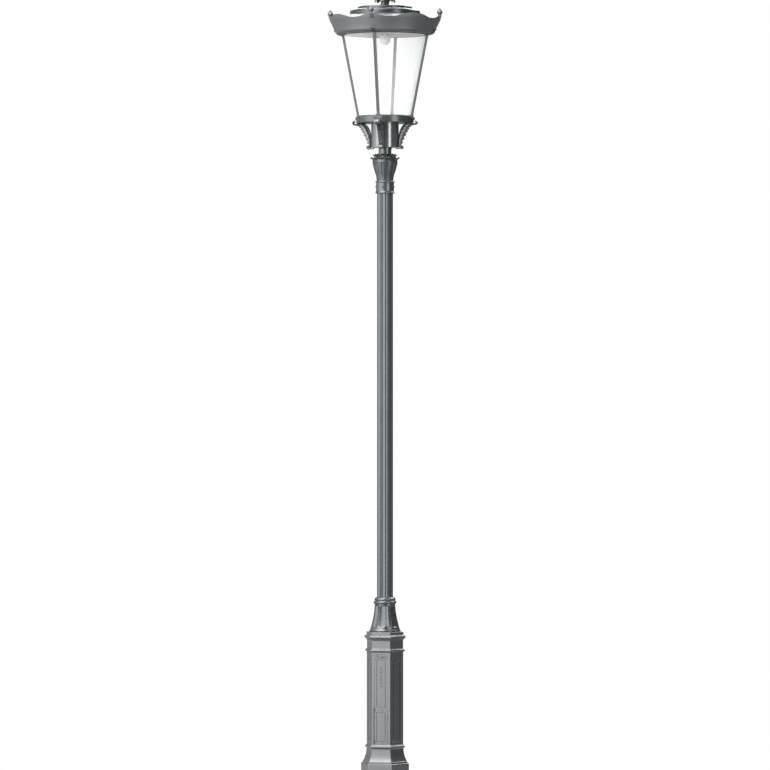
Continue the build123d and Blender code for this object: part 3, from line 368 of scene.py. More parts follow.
MATERIAL_OF_SLOT = {
    "base_paint": base_paint,
    "post_paint": post_paint,
    "stud_paint": post_paint,
    "lantern_paint": lantern_paint,
    "stay_paint": stay_paint,
    "roof_paint": roof_paint,
    "galvanised_steel": galvanised,
    "hinge_steel": dark_steel,
    "brass_fitting": brass,
    "sleeve_plastic": sleeve_plastic,
    "clear_glazing": clear_glazing,
    "rubber_seal": seal_rubber,
    "reflector_white": reflector_white,
    "holder_ceramic": holder_ceramic,
    "lamp_glass": lamp_glass,
    "grey_plastic": grey_plastic,
    "black_plastic": black_plastic,
    "gear_metal": gear_metal,
}

for subpart in frame["record"]["subparts"]:
    node = nodes[subpart["node"]]
    node.data.materials.clear()
    node.data.materials.append(MATERIAL_OF_SLOT[subpart["material_slot"]])

# single castings and sheets whose finish differs from the rest of their slot; their lighter or darker tone is
# painted light and shade
for name, material in (("gear_housing", housing_paint), ("crown_band", crown_paint),
                       ("capital", capital_paint), ("roof_skirt", skirt_paint)):
    nodes[name].data.materials[0] = material

# ======================================================================
# Mesh making
# ======================================================================


def build_piece(name, vertices, faces, material, body, stands_for=(), sharp=38.0):
    """One piece from closed forms, welded, with outward normals, smooth but for its sharp edges."""
    mesh = bpy.data.meshes.new(name)
    mesh.from_pydata([tuple(MM * c for c in vertex) for vertex in vertices], [], faces)
    shape = bmesh.new()
    shape.from_mesh(mesh)
    bmesh.ops.remove_doubles(shape, verts=shape.verts, dist=0.00002)
    bmesh.ops.recalc_face_normals(shape, faces=shape.faces)
    shape.to_mesh(mesh)
    shape.free()
    for face in mesh.polygons:
        face.use_smooth = True
    mesh.set_sharp_from_angle(angle=math.radians(sharp))
    mesh.materials.append(material)
    piece = bpy.data.objects.new(name, mesh)
    scene.collection.objects.link(piece)
    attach(piece, body)
    if stands_for:
        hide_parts(*stands_for)


def circle(radius, count):
    """Points evenly round a circle, as (x, y)."""
    return [(radius * math.cos(TURN * i / count), radius * math.sin(TURN * i / count)) for i in range(count)]


def along(line):
    """Each point of a sampled curve with its share of the way and its direction."""
    last = len(line) - 1
    for row, middle in enumerate(line):
        yield middle, row / last, (line[min(row + 1, last)] - line[max(row - 1, 0)]).normalized()


class Solid:
    """Vertices and faces gathered from several closed forms of one piece, in millimetres."""

    def __init__(self):
        self.vertices, self.faces = [], []

    def loops(self, rings, cap=True):
        """Skin a run of closed rings with the same number of points, and cap both ends unless cap is off."""
        first, size = len(self.vertices), len(rings[0])
        for ring in rings:
            self.vertices.extend(ring)
        for row in range(len(rings) - 1):
            a, b = first + row * size, first + (row + 1) * size
            for i in range(size):
                j = (i + 1) % size
                self.faces.append((a + i, a + j, b + j, b + i))
        if cap:
            last = first + (len(rings) - 1) * size
            self.faces.append(tuple(range(first, first + size)))
            self.faces.append(tuple(range(last + size - 1, last - 1, -1)))

    def turned(self, angle):
        """The gathered points turned about the post's axis."""
        c, s = math.cos(angle), math.sin(angle)
        return [(x * c - y * s, x * s + y * c, z) for x, y, z in self.vertices]


def spline_points(points, steps):
    """A smooth curve through the given points (Catmull-Rom), as many samples between each two."""
    padded = [points[0]] + list(points) + [points[-1]]
    result = []
    for i in range(1, len(padded) - 2):
        p0, p1, p2, p3 = (Vector(p) for p in padded[i - 1:i + 3])
        for k in range(steps):
            t = k / steps
            result.append(0.5 * (2 * p1 + (p2 - p0) * t + (2 * p0 - 5 * p1 + 4 * p2 - p3) * t ** 2
                                 + (3 * p1 - 3 * p2 + p3 - p0) * t ** 3))
    result.append(Vector(padded[-2]))
    return result


def at_share(curve, share):
    """The point a given share of the way along a sampled curve."""
    place = max(0.0, min(1.0, share)) * (len(curve) - 1)
    low = min(int(place), len(curve) - 2)
    return curve[low].lerp(curve[low + 1], place - low)


def smooth_step(low, high, value):
    """0 below low, 1 above high, and an S-shaped rise between."""
    t = max(0.0, min(1.0, (value - low) / (high - low)))
    return t * t * (3 - 2 * t)


def leaf(solid, path, width, thickness, angle, lobes=4, cup=2.0, rib=1.6, steps=7, across=10):
    """A lobed leaf whose midline is an (r, z) path, turned about the post's axis by an angle."""
    line = spline_points(path, steps)
    c, s = math.cos(angle), math.sin(angle)
    rings = []
    for middle, share, ahead in along(line):
        normal = Vector((-ahead.y, ahead.x))
        reach = width * (0.55 + 0.62 * math.sin(math.pi * min(1.0, share * 0.78 + 0.12)))
        reach *= 1.0 - 0.2 * abs(math.cos(math.pi * lobes * share)) * smooth_step(0.05, 0.25, share)
        reach *= math.sqrt(max(0.02, 1.0 - smooth_step(0.72, 1.0, share) ** 1.5))
        body = thickness * (1.0 - 0.55 * share)
        ring = []
        for side in (1, -1):
            for k in range(across + 1):
                u = (2 * k / across - 1) * side
                fall = cup * u * u - rib * math.exp(-(u / 0.16) ** 2)
                fall -= 0.7 * math.cos(3 * math.pi * u) * share
                edge = math.sqrt(max(0.0, 1 - u * u))
                lift = -fall + side * body / 2 * edge
                if abs(abs(u) - 1) < 1e-6 and side == -1:
                    continue
                radial = middle.x + normal.x * lift
                height = middle.y + normal.y * lift
                sideways = u * reach
                ring.append((radial * c - sideways * s, radial * s + sideways * c, height))
        rings.append(ring)
    solid.loops(rings)


def lathe(solid, profile, segments, radius_factor=None, centre=(0.0, 0.0)):
    """A closed turned form: profile rows are (r, z) from foot to head, each ring may be lobed."""
    rings = []
    for radius, height in profile:
        ring = []
        for i in range(segments):
            angle = TURN * i / segments
            r = radius * (radius_factor(angle, height) if radius_factor else 1.0)
            ring.append((centre[0] + r * math.cos(angle), centre[1] + r * math.sin(angle), height))
        rings.append(ring)
    solid.loops(rings)


# ======================================================================
# Console brackets: acanthus leaf on the outside, a scroll at the foot
# ======================================================================

ring_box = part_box("lower_ring")
ring_foot, ring_head, ring_reach = ring_box[0][2] / MM, ring_box[1][2] / MM, ring_box[1][0] / MM

# outlines as (distance from the axis, height over the ring's foot); section as (share of depth, half width)
BRACKET_INNER = [(190, -0.6), (160, -0.7), (136, -0.8), (120, -12), (106, -32), (96, -55), (91.2, -78),
                 (89.6, -106), (89.3, -146)]
BRACKET_OUTER = [(205, -12), (192, -14), (174, -15), (161, -23), (151, -38), (141, -54), (130, -76),
                 (118, -99), (108, -124), (102, -146)]
BRACKET_SECTION = [(0.0, 4.0), (0.03, 8.0), (0.1, 10.5), (0.17, 11.0), (0.22, 9.6), (0.27, 12.6),
                   (0.38, 17.0), (0.5, 19.0), (0.7, 18.0), (0.88, 15.5), (0.97, 11.0), (1.0, 4.0)]
BRACKET_ROWS = 150
SCALES = 9                    # leaf tips down the back of the arm
SCALE_RISE = 11.5
SCROLL_EYE = (108.5, -154.0)
SCROLL_ROWS = 60
SCROLL_START, SCROLL_SWEEP = math.radians(140), math.radians(560)


def bracket_body(solid):
    """The leafy arm from the ring's edge down to the scroll, in the plane through +X."""
    inner = spline_points(BRACKET_INNER, 8)
    outer = spline_points(BRACKET_OUTER, 8)
    rings = []
    for row in range(BRACKET_ROWS + 1):
        share = row / BRACKET_ROWS
        near, far = at_share(inner, share), at_share(outer, share)
        out = far - near
        span = max(out.length, 1e-6)
        out /= span
        swell = 1.0 + 0.34 * (1.0 - smooth_step(0.0, 0.24, share)) - 0.12 * smooth_step(0.8, 1.0, share)
        ring = []
        for side in (1, -1):
            order = BRACKET_SECTION if side == 1 else BRACKET_SECTION[::-1]
            for depth, half in order:
                sideways = half * swell
                phase = share * SCALES + 0.42 * (sideways / 19.0) ** 2
                tooth = (1.0 - phase % 1.0) ** 1.7
                rise = SCALE_RISE * tooth * smooth_step(0.35, 0.95, depth) * smooth_step(0.1, 0.22, share)
                vein = 0.9 * math.sin(TURN * phase) * smooth_step(0.34, 0.5, depth)
                place = near + out * (span * depth + rise)
                place.y += rise * 0.12
                half_width = max(0.5, sideways + vein * 0.8 - rise * 0.16)
                ring.append((place.x, side * half_width, ring_foot + place.y))
        rings.append(ring)
    solid.loops(rings)


def bracket_scroll(solid):
    """The volute under the arm, rolled outwards round a button."""
    eye_r, eye_z = SCROLL_EYE[0], ring_foot + SCROLL_EYE[1]
    rings = []
    for row in range(SCROLL_ROWS + 1):
        share = row / SCROLL_ROWS
        angle = SCROLL_START + share * SCROLL_SWEEP
        reach = 13.0 - 9.5 * share
        middle = Vector((eye_r + reach * math.cos(angle), eye_z + reach * math.sin(angle)))
        out = Vector((math.cos(angle), math.sin(angle)))
        thick = 4.6 - 2.2 * share
        half = 13.5 + 5.5 * share
        ring = []
        for k in range(12):
            turn = TURN * k / 12
            push = thick * math.copysign(abs(math.cos(turn)) ** 0.7, math.cos(turn))
            side = half * math.copysign(abs(math.sin(turn)) ** 0.5, math.sin(turn))
            ring.append((middle.x + out.x * push, side, middle.y + out.y * push))
        rings.append(ring)
    solid.loops(rings)
    button = []
    for offset, radius in ((-21.0, 1.2), (-20.2, 4.2), (-18.0, 6.0), (-14.0, 6.8), (14.0, 6.8), (18.0, 6.0),
                           (20.2, 4.2), (21.0, 1.2)):
        button.append([(eye_r + x, offset, eye_z + z) for x, z in circle(radius, 16)])
    solid.loops(button)
    # small leaf that turns back under the housing
    leaf(solid, [(106, eye_z + 12), (98, eye_z - 1), (91, eye_z - 7.5), (82, eye_z - 9), (74, eye_z - 7),
                 (70, eye_z - 4)], 13.0, 6.5, 0.0, lobes=2, cup=-1.6)


def top_leaf(solid):
    """The leaf that runs out under the ring and rolls up into a knob beside it."""
    z = ring_foot
    leaf(solid, [(150, z - 13), (168, z - 11.5), (188, z - 12.5), (203, z - 11), (212, z - 3), (211, z + 8),
                 (204, z + 15), (197.5, z + 19)], 21.0, 6.5, 0.0, lobes=3, cup=-2.0, rib=1.2)
    leaf(solid, [(186, z - 6), (197, z - 6), (205, z - 2), (206, z + 5), (200, z + 9), (195, z + 6)],
         14.0, 5.5, 0.0, lobes=2, cup=-1.2, rib=1.0)


for index in range(4):
    bracket = Solid()
    bracket_body(bracket)
    bracket_scroll(bracket)
    top_leaf(bracket)
    build_piece(f"console_bracket_{index + 1}", bracket.turned(TURN * index / 4), bracket.faces, leaf_paint,
                "post", (f"bracket_{index + 1}",), sharp=50.0)

# ======================================================================
# Leaves over the capital
# ======================================================================

LEAF_COUNT = 12


def capital_leafwork():
    """A turned seat with three rows of leaves, the lowest curling furthest out."""
    solid = Solid()
    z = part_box("capital_leaves")[0][2] / MM
    lathe(solid, [(56, z - 2), (63, z + 4), (64.5, z + 10), (61, z + 20), (58.5, z + 30), (57.5, z + 35)], 72)
    for k in range(LEAF_COUNT):
        angle = TURN * k / LEAF_COUNT
        leaf(solid, [(60, z + 1), (70, z + 0.5), (79, z + 4), (85, z + 11), (90, z + 14), (93, z + 10),
                     (91, z + 5)], 17.0, 3.4, angle, lobes=3, cup=3.0)
        leaf(solid, [(60, z + 4), (65, z + 14), (68, z + 24), (72, z + 30), (76, z + 30), (77, z + 26)],
             13.0, 3.0, angle + TURN / LEAF_COUNT / 2, lobes=3, cup=2.2)
        leaf(solid, [(58, z + 16), (60, z + 26), (63, z + 33), (66.5, z + 36), (69, z + 34)],
             11.0, 2.6, angle, lobes=2, cup=1.6)
    return solid


leafwork = capital_leafwork()
build_piece("capital_leafwork", leafwork.vertices, leafwork.faces, capital_paint, "post",
            ("capital_leaves",), sharp=60.0)

# ======================================================================
# Neck over the base: a bell with twelve wide hollow flutes between sharp arrises
# ======================================================================

NECK_FLUTES = 12
NECK_TALL = 220.0
BELL_FOOT, BELL_HEAD = 22.0, 176.0
BELL_FOOT_RADIUS, BELL_HEAD_RADIUS = 93.0, 66.0
BELL_ROWS = 70
FLUTE_FOOT, FLUTE_HEAD = 27.0, 171.0
NECK_BORE, NECK_FOOT_BORE = 51.3, 80.0


def bead(low, high, radius, bulge, steps=6):
    """(height, radius) rows of a rounded moulding between two heights."""
    return [(low + (high - low) * k / steps, radius + bulge * math.sin(math.pi * k / steps))
            for k in range(steps + 1)]


def neck_outline():
    """(height, radius) rows of the neck: foot ring, bell, two beads and the rim under the column."""
    rows = bead(0.0, 13.0, 97.0, 2.8) + [(17.0, 94.0)]
    for k in range(BELL_ROWS + 1):
        share = k / BELL_ROWS
        flare = (BELL_FOOT_RADIUS - BELL_HEAD_RADIUS) * (1.0 - share) ** 1.77
        rows.append((BELL_FOOT + (BELL_HEAD - BELL_FOOT) * share, BELL_HEAD_RADIUS + flare))
    rows += bead(179.0, 195.0, 69.5, 3.7) + [(198.0, 65.5)] + bead(201.5, 212.0, 66.0, 1.6, 4)
    return rows + [(216.0, 62.0), (NECK_TALL, 57.0)]


def flute_depth(height, radius, angle):
    """How deep the flutes cut into the bell; they are hollow, with round ends and sharp arrises between."""
    room = min(height - FLUTE_FOOT, FLUTE_HEAD - height)
    if room <= 0.0:
        return 0.0
    end = min(1.0, room / 15.0)
    reach = 0.96 * math.sqrt(1.0 - (1.0 - end) ** 2)
    across = ((angle / TURN * NECK_FLUTES + 0.5) % 1.0 - 0.5) * 2.0
    hollow = max(0.0, 1.0 - (across / reach) ** 2)
    return (3.4 + 0.018 * radius) * hollow * min(1.0, room / 6.0)


def neck_casting():
    """The neck with its bore; the last ring is the first again, so that the skin closes without caps."""
    solid = Solid()
    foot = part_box("bell_neck")[0][2] / MM
    segments = 20 * NECK_FLUTES
    angles = [TURN * i / segments for i in range(segments)]
    rings = [[(x, y, foot) for x, y in circle(NECK_FOOT_BORE, segments)]]
    for height, radius in neck_outline():
        ring = []
        for angle in angles:
            reach = radius - flute_depth(height, radius, angle)
            ring.append((reach * math.cos(angle), reach * math.sin(angle), foot + height))
        rings.append(ring)
    for height in (NECK_TALL, NECK_TALL - 80.0):
        rings.append([(x, y, foot + height) for x, y in circle(NECK_BORE, segments)])
    rings.append(rings[0])
    solid.loops(rings, cap=False)
    return solid


neck = neck_casting()
build_piece("fluted_neck", neck.vertices, neck.faces, neck_paint, "post", ("bell_neck",),
            sharp=30.0)

# ======================================================================
# Top finial: two rows of leaves round a fluted bud
# ======================================================================

FINIAL_LEAVES = 6


def finial_leafwork():
    """A turned stem with a hanging row and a standing row of leaves."""
    solid = Solid()
    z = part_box("finial_leaves")[0][2] / MM
    lathe(solid, [(24, z), (29, z + 1), (31, z + 8), (30, z + 20), (32, z + 30), (34, z + 38), (33, z + 40)],
          60)
    for k in range(FINIAL_LEAVES):
        angle = TURN * (k + 0.5) / FINIAL_LEAVES
        leaf(solid, [(27, z + 1), (34, z + 9), (44, z + 16), (54, z + 16), (62, z + 8), (66, z - 4),
                     (63, z - 10)], 17.0, 4.0, angle, lobes=4, cup=3.0, rib=2.0)
        leaf(solid, [(28, z + 8), (33, z + 20), (40, z + 32), (46, z + 36), (51, z + 33), (52, z + 28)],
             15.0, 3.6, angle + TURN / FINIAL_LEAVES / 2, lobes=3, cup=2.4)
    return solid


def finial_flame():
    """The bud, with shallow flutes that wind a little as they rise."""
    solid = Solid()
    bud_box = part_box("finial_bud")
    bud_seat, tall = bud_box[0][2] / MM, (bud_box[1][2] - bud_box[0][2]) / MM
    outline = spline_points([(33, 0), (38.5, 0.1), (40.5, 0.24), (38, 0.42), (31, 0.6), (21, 0.78),
                             (10, 0.92), (1.5, 1.0)], 6)
    profile = [(point.x, bud_seat + tall * point.y) for point in outline]

    def flutes(angle, height):
        """Share of the outline's radius left by the flutes."""
        share = (height - bud_seat) / tall
        deep = 0.11 * math.sin(math.pi * min(1.0, 0.12 + share))
        return 1.0 - deep * (1 - abs(math.cos(4 * angle + 1.6 * share))) ** 1.5

    lathe(solid, profile, 128, flutes)
    return solid


for name, form, node in (("top_finial_leaves", finial_leafwork(), "finial_leaves"),
                         ("top_finial_flame", finial_flame(), "finial_bud")):
    build_piece(name, form.vertices, form.faces, leaf_paint, "roof", (node,), sharp=60.0)

# ======================================================================
# Small finials on the crown
# ======================================================================

CROWN_BUD = [(12.5, -2), (12.8, 2), (10.5, 5), (10.2, 8), (13.5, 13), (17.6, 19), (18.3, 24), (16, 31),
             (12, 38), (7.5, 44), (4.2, 48), (1.0, 50)]
CROWN_HORN = [(350, -30), (355, -20), (359, -11), (361, -4), (361.5, 0)]


def crown_bud(seat):
    """The bud over one corner of the crown, with six shallow petals."""
    centre = ((seat[0][0] + seat[1][0]) / 2 / MM, (seat[0][1] + seat[1][1]) / 2 / MM)
    foot = seat[0][2] / MM

    def petals(angle, height):
        """Share of the outline's radius left between the petals."""
        deep = 0.10 * smooth_step(9, 16, height - foot) * (1 - smooth_step(38, 46, height - foot))
        return 1.0 - deep * (1 - abs(math.cos(3 * angle)))

    solid = Solid()
    lathe(solid, [(point.x, foot + point.y) for point in spline_points(CROWN_BUD, 3)], 48, petals, centre)
    return solid


def crown_horn(foot):
    """The stem that carries a bud, growing out of the crown's rim in the plane through +X."""
    solid = Solid()
    rings = []
    for middle, share, _ in along(spline_points(CROWN_HORN, 4)):
        half, deep = 17.0 - 4.5 * smooth_step(0.0, 0.9, share), 4.0 + 8.5 * share
        rings.append([(middle.x + deep * x, half * y, foot + middle.y) for x, y in circle(1.0, 20)])
    solid.loops(rings)
    return solid


for index in range(4):
    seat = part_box(f"small_finial_{index + 1}")
    bud = crown_bud(seat)
    build_piece(f"crown_finial_{index + 1}", bud.vertices, bud.faces, finial_paint, "post",
                (f"small_finial_{index + 1}",), sharp=60.0)
    horn = crown_horn(seat[0][2] / MM)
    build_piece(f"crown_horn_{index + 1}", horn.turned(TURN * index / 4), horn.faces, crown_paint, "post",
                sharp=60.0)

# ======================================================================
# Low relief on the front face: cartouche and branch
# ======================================================================

shaft_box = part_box("base_shaft")
shaft_face_y = shaft_box[0][1] / MM + 1.2
BRANCH_FOOT, BRANCH_HEAD = shaft_box[0][2] / MM + 371.0, shaft_box[0][2] / MM + 497.0
LEAF_PAIRS = 5
CARTOUCHE_STEM = [(13, -4), (17, -8), (24, -10.5), (33, -8), (38, -1), (37, 4)]
# each leaf as (x, height, heading in degrees, length, width), on the right of the lozenge
CARTOUCHE_LEAVES = [(15, 3, 60, 15, 6.5), (19, 5, 38, 19, 7.5), (27, 6, 20, 17, 6.5), (35, -4, -12, 12, 6.0),
                    (31, -8, -35, 12, 5.5), (22, -9, -75, 9, 5.0), (13, -5, -100, 9, 5.0)]


def relief_leaf(solid, x, z, heading, length, width, height, curl=0.0, steps=10, across=8):
    """A pointed leaf lying on the front face, ribbed along its middle."""
    rings = []
    for row in range(steps + 1):
        share = row / steps
        turn = heading + curl * share
        x_at = x + length * share * math.cos(heading + curl * share / 2)
        z_at = z + length * share * math.sin(heading + curl * share / 2)
        half = width / 2 * max(0.06, math.sin(math.pi * min(1.0, 0.06 + 0.94 * share)) ** 0.8)
        half *= 1 - 0.14 * abs(math.cos(3 * math.pi * share))
        crest = height * (0.25 + 0.75 * math.sin(math.pi * (0.1 + 0.8 * share)))
        ring = []
        for k in range(across + 1):
            u = 2 * k / across - 1
            rise = crest * ((1 - u * u) * (1 - 0.45 * math.exp(-(u / 0.18) ** 2)))
            ring.append((x_at - math.sin(turn) * half * u, shaft_face_y - rise,
                         z_at + math.cos(turn) * half * u))
        ring.append((x_at, shaft_face_y + 0.5, z_at))
        rings.append(ring)
    solid.loops(rings)


def relief_stem(solid, path, thick_from, thick_to, steps=6):
    """A half-round stem along an (x, z) path on the front face."""
    rings = []
    for middle, share, ahead in along(spline_points(path, steps)):
        thick = thick_from + (thick_to - thick_from) * share
        ring = []
        for k in range(7):
            turn = math.pi * k / 6
            side = thick * math.cos(turn)
            ring.append((middle.x - ahead.y * side, shaft_face_y - thick * 0.9 * math.sin(turn),
                         middle.y + ahead.x * side))
        ring.append((middle.x, shaft_face_y + 0.5, middle.y))
        rings.append(ring)
    solid.loops(rings)


def scroll_path(x, z, hand, reach, start, turns=1.35, samples=14):
    """Points of a spiral that rolls inwards, its outer end first."""
    points = []
    for k in range(samples + 1):
        share = k / samples
        angle = TURN * (start + turns * share)
        radius = reach * (1 - 0.85 * share)
        points.append((x + hand * radius * math.cos(angle), z + radius * math.sin(angle)))
    return points


def cartouche_relief():
    """A bevelled lozenge between leafy scrolls."""
    solid = Solid()
    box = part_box("cartouche")
    middle = (box[0][2] + box[1][2]) / 2 / MM
    corners = [Vector(corner) for corner in circle(1.0, 4)]
    lozenge = [corners[i // 4].lerp(corners[(i // 4 + 1) % 4], i % 4 / 4) for i in range(16)]
    rings = []
    for reach, rise in ((12.5, -0.5), (12.5, 2.2), (11.4, 3.2), (9.4, 3.2), (8.2, 1.8), (7.2, 1.8),
                        (3.2, 3.8), (0.4, 4.2)):
        rings.append([(reach * point.x, shaft_face_y - rise, middle + reach * point.y) for point in lozenge])
    solid.loops(rings)
    for hand in (-1, 1):
        relief_stem(solid, scroll_path(hand * 25, middle - 1, hand, 8.5, start=0.5), 2.2, 1.0)
        relief_stem(solid, [(hand * x, middle + z) for x, z in CARTOUCHE_STEM], 1.6, 1.2)
        for x, z, heading, length, width in CARTOUCHE_LEAVES:
            angle = math.radians(heading if hand > 0 else 180 - heading)
            relief_leaf(solid, hand * x, middle + z, angle, length, width, 1.5, curl=-hand * 0.5)
    relief_leaf(solid, 0, middle + 9, math.radians(90), 13, 9, 1.8)
    return solid


def branch_relief():
    """A slender branch in the sunk panel: stem, paired leaves, small scrolls at its foot."""
    solid = Solid()
    foot = BRANCH_FOOT
    relief_stem(solid, [(0, foot), (1.2, foot + 32), (-1.2, foot + 64), (0.8, foot + 96),
                        (0, BRANCH_HEAD - 8)], 2.0, 0.9)
    for pair in range(LEAF_PAIRS):
        size = 1.0 - 0.11 * pair
        for hand in (-1, 1):
            relief_leaf(solid, 0.0, foot + 20 + pair * 21, math.radians(90 - hand * 48), 23 * size,
                        9.5 * size, 1.7, curl=hand * 0.55)
    relief_leaf(solid, 0, BRANCH_HEAD - 16, math.radians(90), 20, 9, 2.4)
    for hand in (-1, 1):
        relief_stem(solid, scroll_path(hand * 10, foot + 6, hand, 7.0, start=0.55), 1.7, 0.7)
    return solid


for name, form, stands_for in (("cartouche_relief", cartouche_relief(), ("cartouche",)),
                               ("panel_branch", branch_relief(), ())):
    build_piece(name, form.vertices, form.faces, relief_paint, "post", stands_for, sharp=55.0)

# ======================================================================
# Fittings of the stays: foot clamps, screws and the straps over the crown
# ======================================================================


def rounded_block(solid, low, high, edge=1.2):
    """A plate with chamfered edges between two corners."""
    x0, y0, z0 = low
    x1, y1, z1 = high
    rings = []
    for inset, x in ((edge, x0), (0.0, x0 + edge), (0.0, x1 - edge), (edge, x1)):
        a0, a1, b0, b1 = y0 + inset, y1 - inset, z0 + inset, z1 - inset
        rings.append([(x, a0 + edge, b0), (x, a1 - edge, b0), (x, a1, b0 + edge), (x, a1, b1 - edge),
                      (x, a1 - edge, b1), (x, a0 + edge, b1), (x, a0, b1 - edge), (x, a0, b0 + edge)])
    solid.loops(rings)


def screw_head(solid, x, y, z, radius=4.2, rise=2.6):
    """A domed screw head on a face that looks along +X, with a round socket."""
    rings = []
    for reach, out in ((radius, -0.4), (radius, 0.6), (radius * 0.92, rise * 0.75), (radius * 0.7, rise),
                       (radius * 0.48, rise), (radius * 0.44, rise * 0.3), (0.2, rise * 0.3)):
        rings.append([(x + out, y + side, z + up) for side, up in circle(reach, 18)])
    solid.loops(rings)


def stay_clamp():
    """A screwed plate on the ring's rim and a block on top of it, round a stay's foot."""
    solid = Solid()
    face = ring_reach + 4.0
    rounded_block(solid, (ring_reach - 1.5, -31.0, ring_foot + 19.0), (face, 31.0, ring_head - 6.0))
    rounded_block(solid, (ring_reach - 17.0, -13.0, ring_head - 0.2),
                  (ring_reach + 2.0, 13.0, ring_head + 9.0))
    for y in (-23.0, 23.0):
        screw_head(solid, face, y, ring_foot + 27.5)
    return solid


STRAP_PATH = [(270, -1.8), (292, -1.8), (308, 1), (319, 9), (326, 20), (329, 27)]
STRAP_HALF_WIDTH = 10.0
STRAP_SECTION = [(-1, -1.6), (-0.92, -2.4), (0.92, -2.4), (1, -1.6), (1, 1.6), (0.92, 2.4), (-0.92, 2.4),
                 (-1, 1.6)]


def crown_strap():
    """Bent strap from each stay's head round the crown's corner, held down by a short bar."""
    solid = Solid()
    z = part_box("crown_band")[0][2] / MM
    rings = []
    for middle, _, ahead in along(spline_points(STRAP_PATH, 5)):
        rings.append([(middle.x + ahead.y * depth, side * STRAP_HALF_WIDTH, z + middle.y - ahead.x * depth)
                      for side, depth in STRAP_SECTION])
    solid.loops(rings)
    rounded_block(solid, (322.0, -22.0, z + 22.0), (334.5, 22.0, z + 32.0))
    return solid


for index in range(4):
    for name, form in (("stay_clamp", stay_clamp()), ("crown_strap", crown_strap())):
        build_piece(f"{name}_{index + 1}", form.turned(TURN * index / 4), form.faces, stay_paint, "post",
                    sharp=32.0)

# ======================================================================
# Pressed ribs of the reflector
# ======================================================================

RIB_COUNT = 8
# along a rib, as (distance from the axis, half width, drop)
RIB_STATIONS = [(46, 0.6, 0.1), (54, 2.6, 1.5), (140, 3.0, 1.8), (216, 3.4, 1.8), (226, 0.6, 0.1)]


def reflector_ribs():
    """Low rounded ribs that run out from the lamp under the plate."""
    solid = Solid()
    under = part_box("reflector_plate")[0][2] / MM + 3.0
    for k in range(RIB_COUNT):
        angle = TURN * (k + 0.5) / RIB_COUNT
        c, s = math.cos(angle), math.sin(angle)
        rings = []
        for r, half, drop in RIB_STATIONS:
            profile = [(-half, 0.4), (-half, -0.1), (-half * 0.5, -drop * 0.8), (0, -drop),
                       (half * 0.5, -drop * 0.8), (half, -0.1), (half, 0.4)]
            rings.append([(r * c - y * s, r * s + y * c, under + z) for y, z in profile])
        solid.loops(rings)
    return solid


ribs = reflector_ribs()
build_piece("reflector_ribs", ribs.vertices, ribs.faces, reflector_white, "roof",
            sharp=60.0)

# ======================================================================
# Studio: pale floor, world and soft lights
# ======================================================================

FLOOR_RADIUS = 1.25
WORLD_ABOVE, WORLD_BELOW = 0.05, 0.40


def make_stage():
    """A round pale floor that fades out at its rim, so that no horizon shows behind the post."""
    mesh = bpy.data.meshes.new("floor")
    shape = bmesh.new()
    bmesh.ops.create_circle(shape, cap_ends=True, radius=FLOOR_RADIUS, segments=96)
    shape.to_mesh(mesh)
    shape.free()
    floor = bpy.data.objects.new("floor", mesh)
    floor.location.z = -0.0005
    scene.collection.objects.link(floor)
    material, tree, shader = new_material("floor_paper")
    speckle = add_node(tree, "ShaderNodeTexNoise", Scale=3.0, Detail=3.0)
    tone = mix_colour(tree, speckle.outputs["Fac"], (0.46, 0.46, 0.46, 1.0), (0.50, 0.50, 0.50, 1.0))
    tree.links.new(tone, shader.inputs["Base Color"])
    shader.inputs["Roughness"].default_value = 0.9
    shader.inputs["Specular IOR Level"].default_value = 0.1
    shader.inputs["Emission Color"].default_value = (1.0, 1.0, 1.0, 1.0)
    seen = add_node(tree, "ShaderNodeLightPath").outputs["Is Camera Ray"]
    tree.links.new(math_node(tree, "MULTIPLY", seen, 0.62), shader.inputs["Emission Strength"])
    place = add_node(tree, "ShaderNodeTexCoord").outputs["Object"]
    reach = add_node(tree, "ShaderNodeVectorMath", {"operation": "LENGTH"}, i0=place).outputs["Value"]
    share = math_node(tree, "DIVIDE", reach, FLOOR_RADIUS)
    tree.links.new(ramp(tree, share, [(0.45, 1.0), (0.98, 0.0)], "EASE"), shader.inputs["Alpha"])
    mesh.materials.append(material)


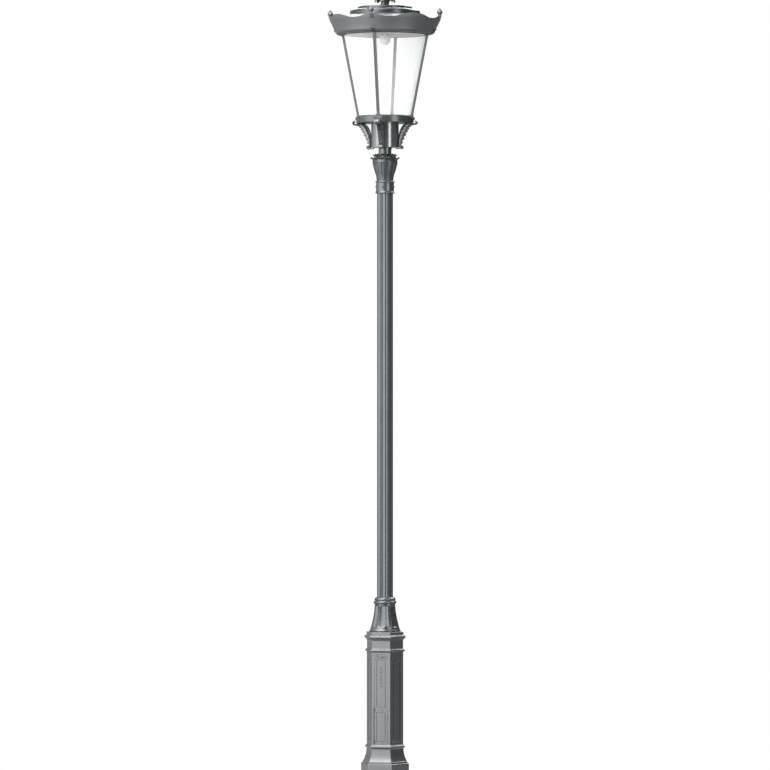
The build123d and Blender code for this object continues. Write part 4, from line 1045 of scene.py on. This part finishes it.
def make_world():
    """White to the eye, but for the surfaces dim above and brighter below, so that soft boxes shape them."""
    world = bpy.data.worlds.new("studio")
    scene.world = world
    world.use_nodes = True
    tree = world.node_tree
    background = tree.nodes["Background"]
    direction = add_node(tree, "ShaderNodeTexCoord").outputs["Generated"]
    height = add_node(tree, "ShaderNodeSeparateXYZ", Vector=direction).outputs["Z"]
    level = add_node(tree, "ShaderNodeMath", {"operation": "MULTIPLY_ADD"}, i0=height, i1=0.5, i2=0.5)
    around = ramp(tree, level.outputs["Value"],
                  [(0.0, WORLD_BELOW), (0.42, WORLD_BELOW), (0.52, WORLD_ABOVE), (1.0, WORLD_ABOVE)])
    path = add_node(tree, "ShaderNodeLightPath").outputs["Is Camera Ray"]
    tree.links.new(mix_colour(tree, path, around, (1.0, 1.0, 1.0, 1.0)), background.inputs["Color"])
    background.inputs["Strength"].default_value = 1.0


def softbox(name, azimuth, distance, height, width, tall, radiance, aim=None):
    """An area light beside the post, facing its axis at the light's own height or at the height to aim at."""
    data = bpy.data.lights.new(name, "AREA")
    data.shape = "RECTANGLE"
    data.size, data.size_y = width, tall
    data.energy = math.pi * width * tall * radiance
    light = bpy.data.objects.new(name, data)
    angle = math.radians(azimuth)
    light.location = (distance * math.sin(angle), -distance * math.cos(angle), height)
    facing = Vector((0.0, 0.0, height if aim is None else aim)) - light.location
    light.rotation_euler = facing.to_track_quat("-Z", "Y").to_euler()
    scene.collection.objects.link(light)


make_stage()
make_world()
softbox("key_left", azimuth=-36.0, distance=6.0, height=3.2, width=7.6, tall=8.0, radiance=2.7)
softbox("key_side", azimuth=-86.0, distance=6.0, height=4.3, width=4.2, tall=5.6, radiance=1.2)
softbox("fill_back_left", azimuth=-130.0, distance=7.0, height=3.0, width=5.0, tall=7.5, radiance=0.45)
softbox("strip_right", azimuth=54.0, distance=7.0, height=3.2, width=2.0, tall=7.0, radiance=5.0)
softbox("fill_right", azimuth=108.0, distance=7.0, height=3.0, width=5.0, tall=7.0, radiance=0.08)
softbox("high_back", azimuth=170.0, distance=7.0, height=9.4, width=14.0, tall=3.6, radiance=10.0, aim=4.9)
softbox("top_front", azimuth=-25.0, distance=3.0, height=8.5, width=5.0, tall=5.0, radiance=6.0, aim=0.2)
softbox("key_high", azimuth=-28.0, distance=6.0, height=7.2, width=7.0, tall=3.4, radiance=5.0, aim=1.0)

scene.view_settings.view_transform = "Standard"
scene.view_settings.look = "None"
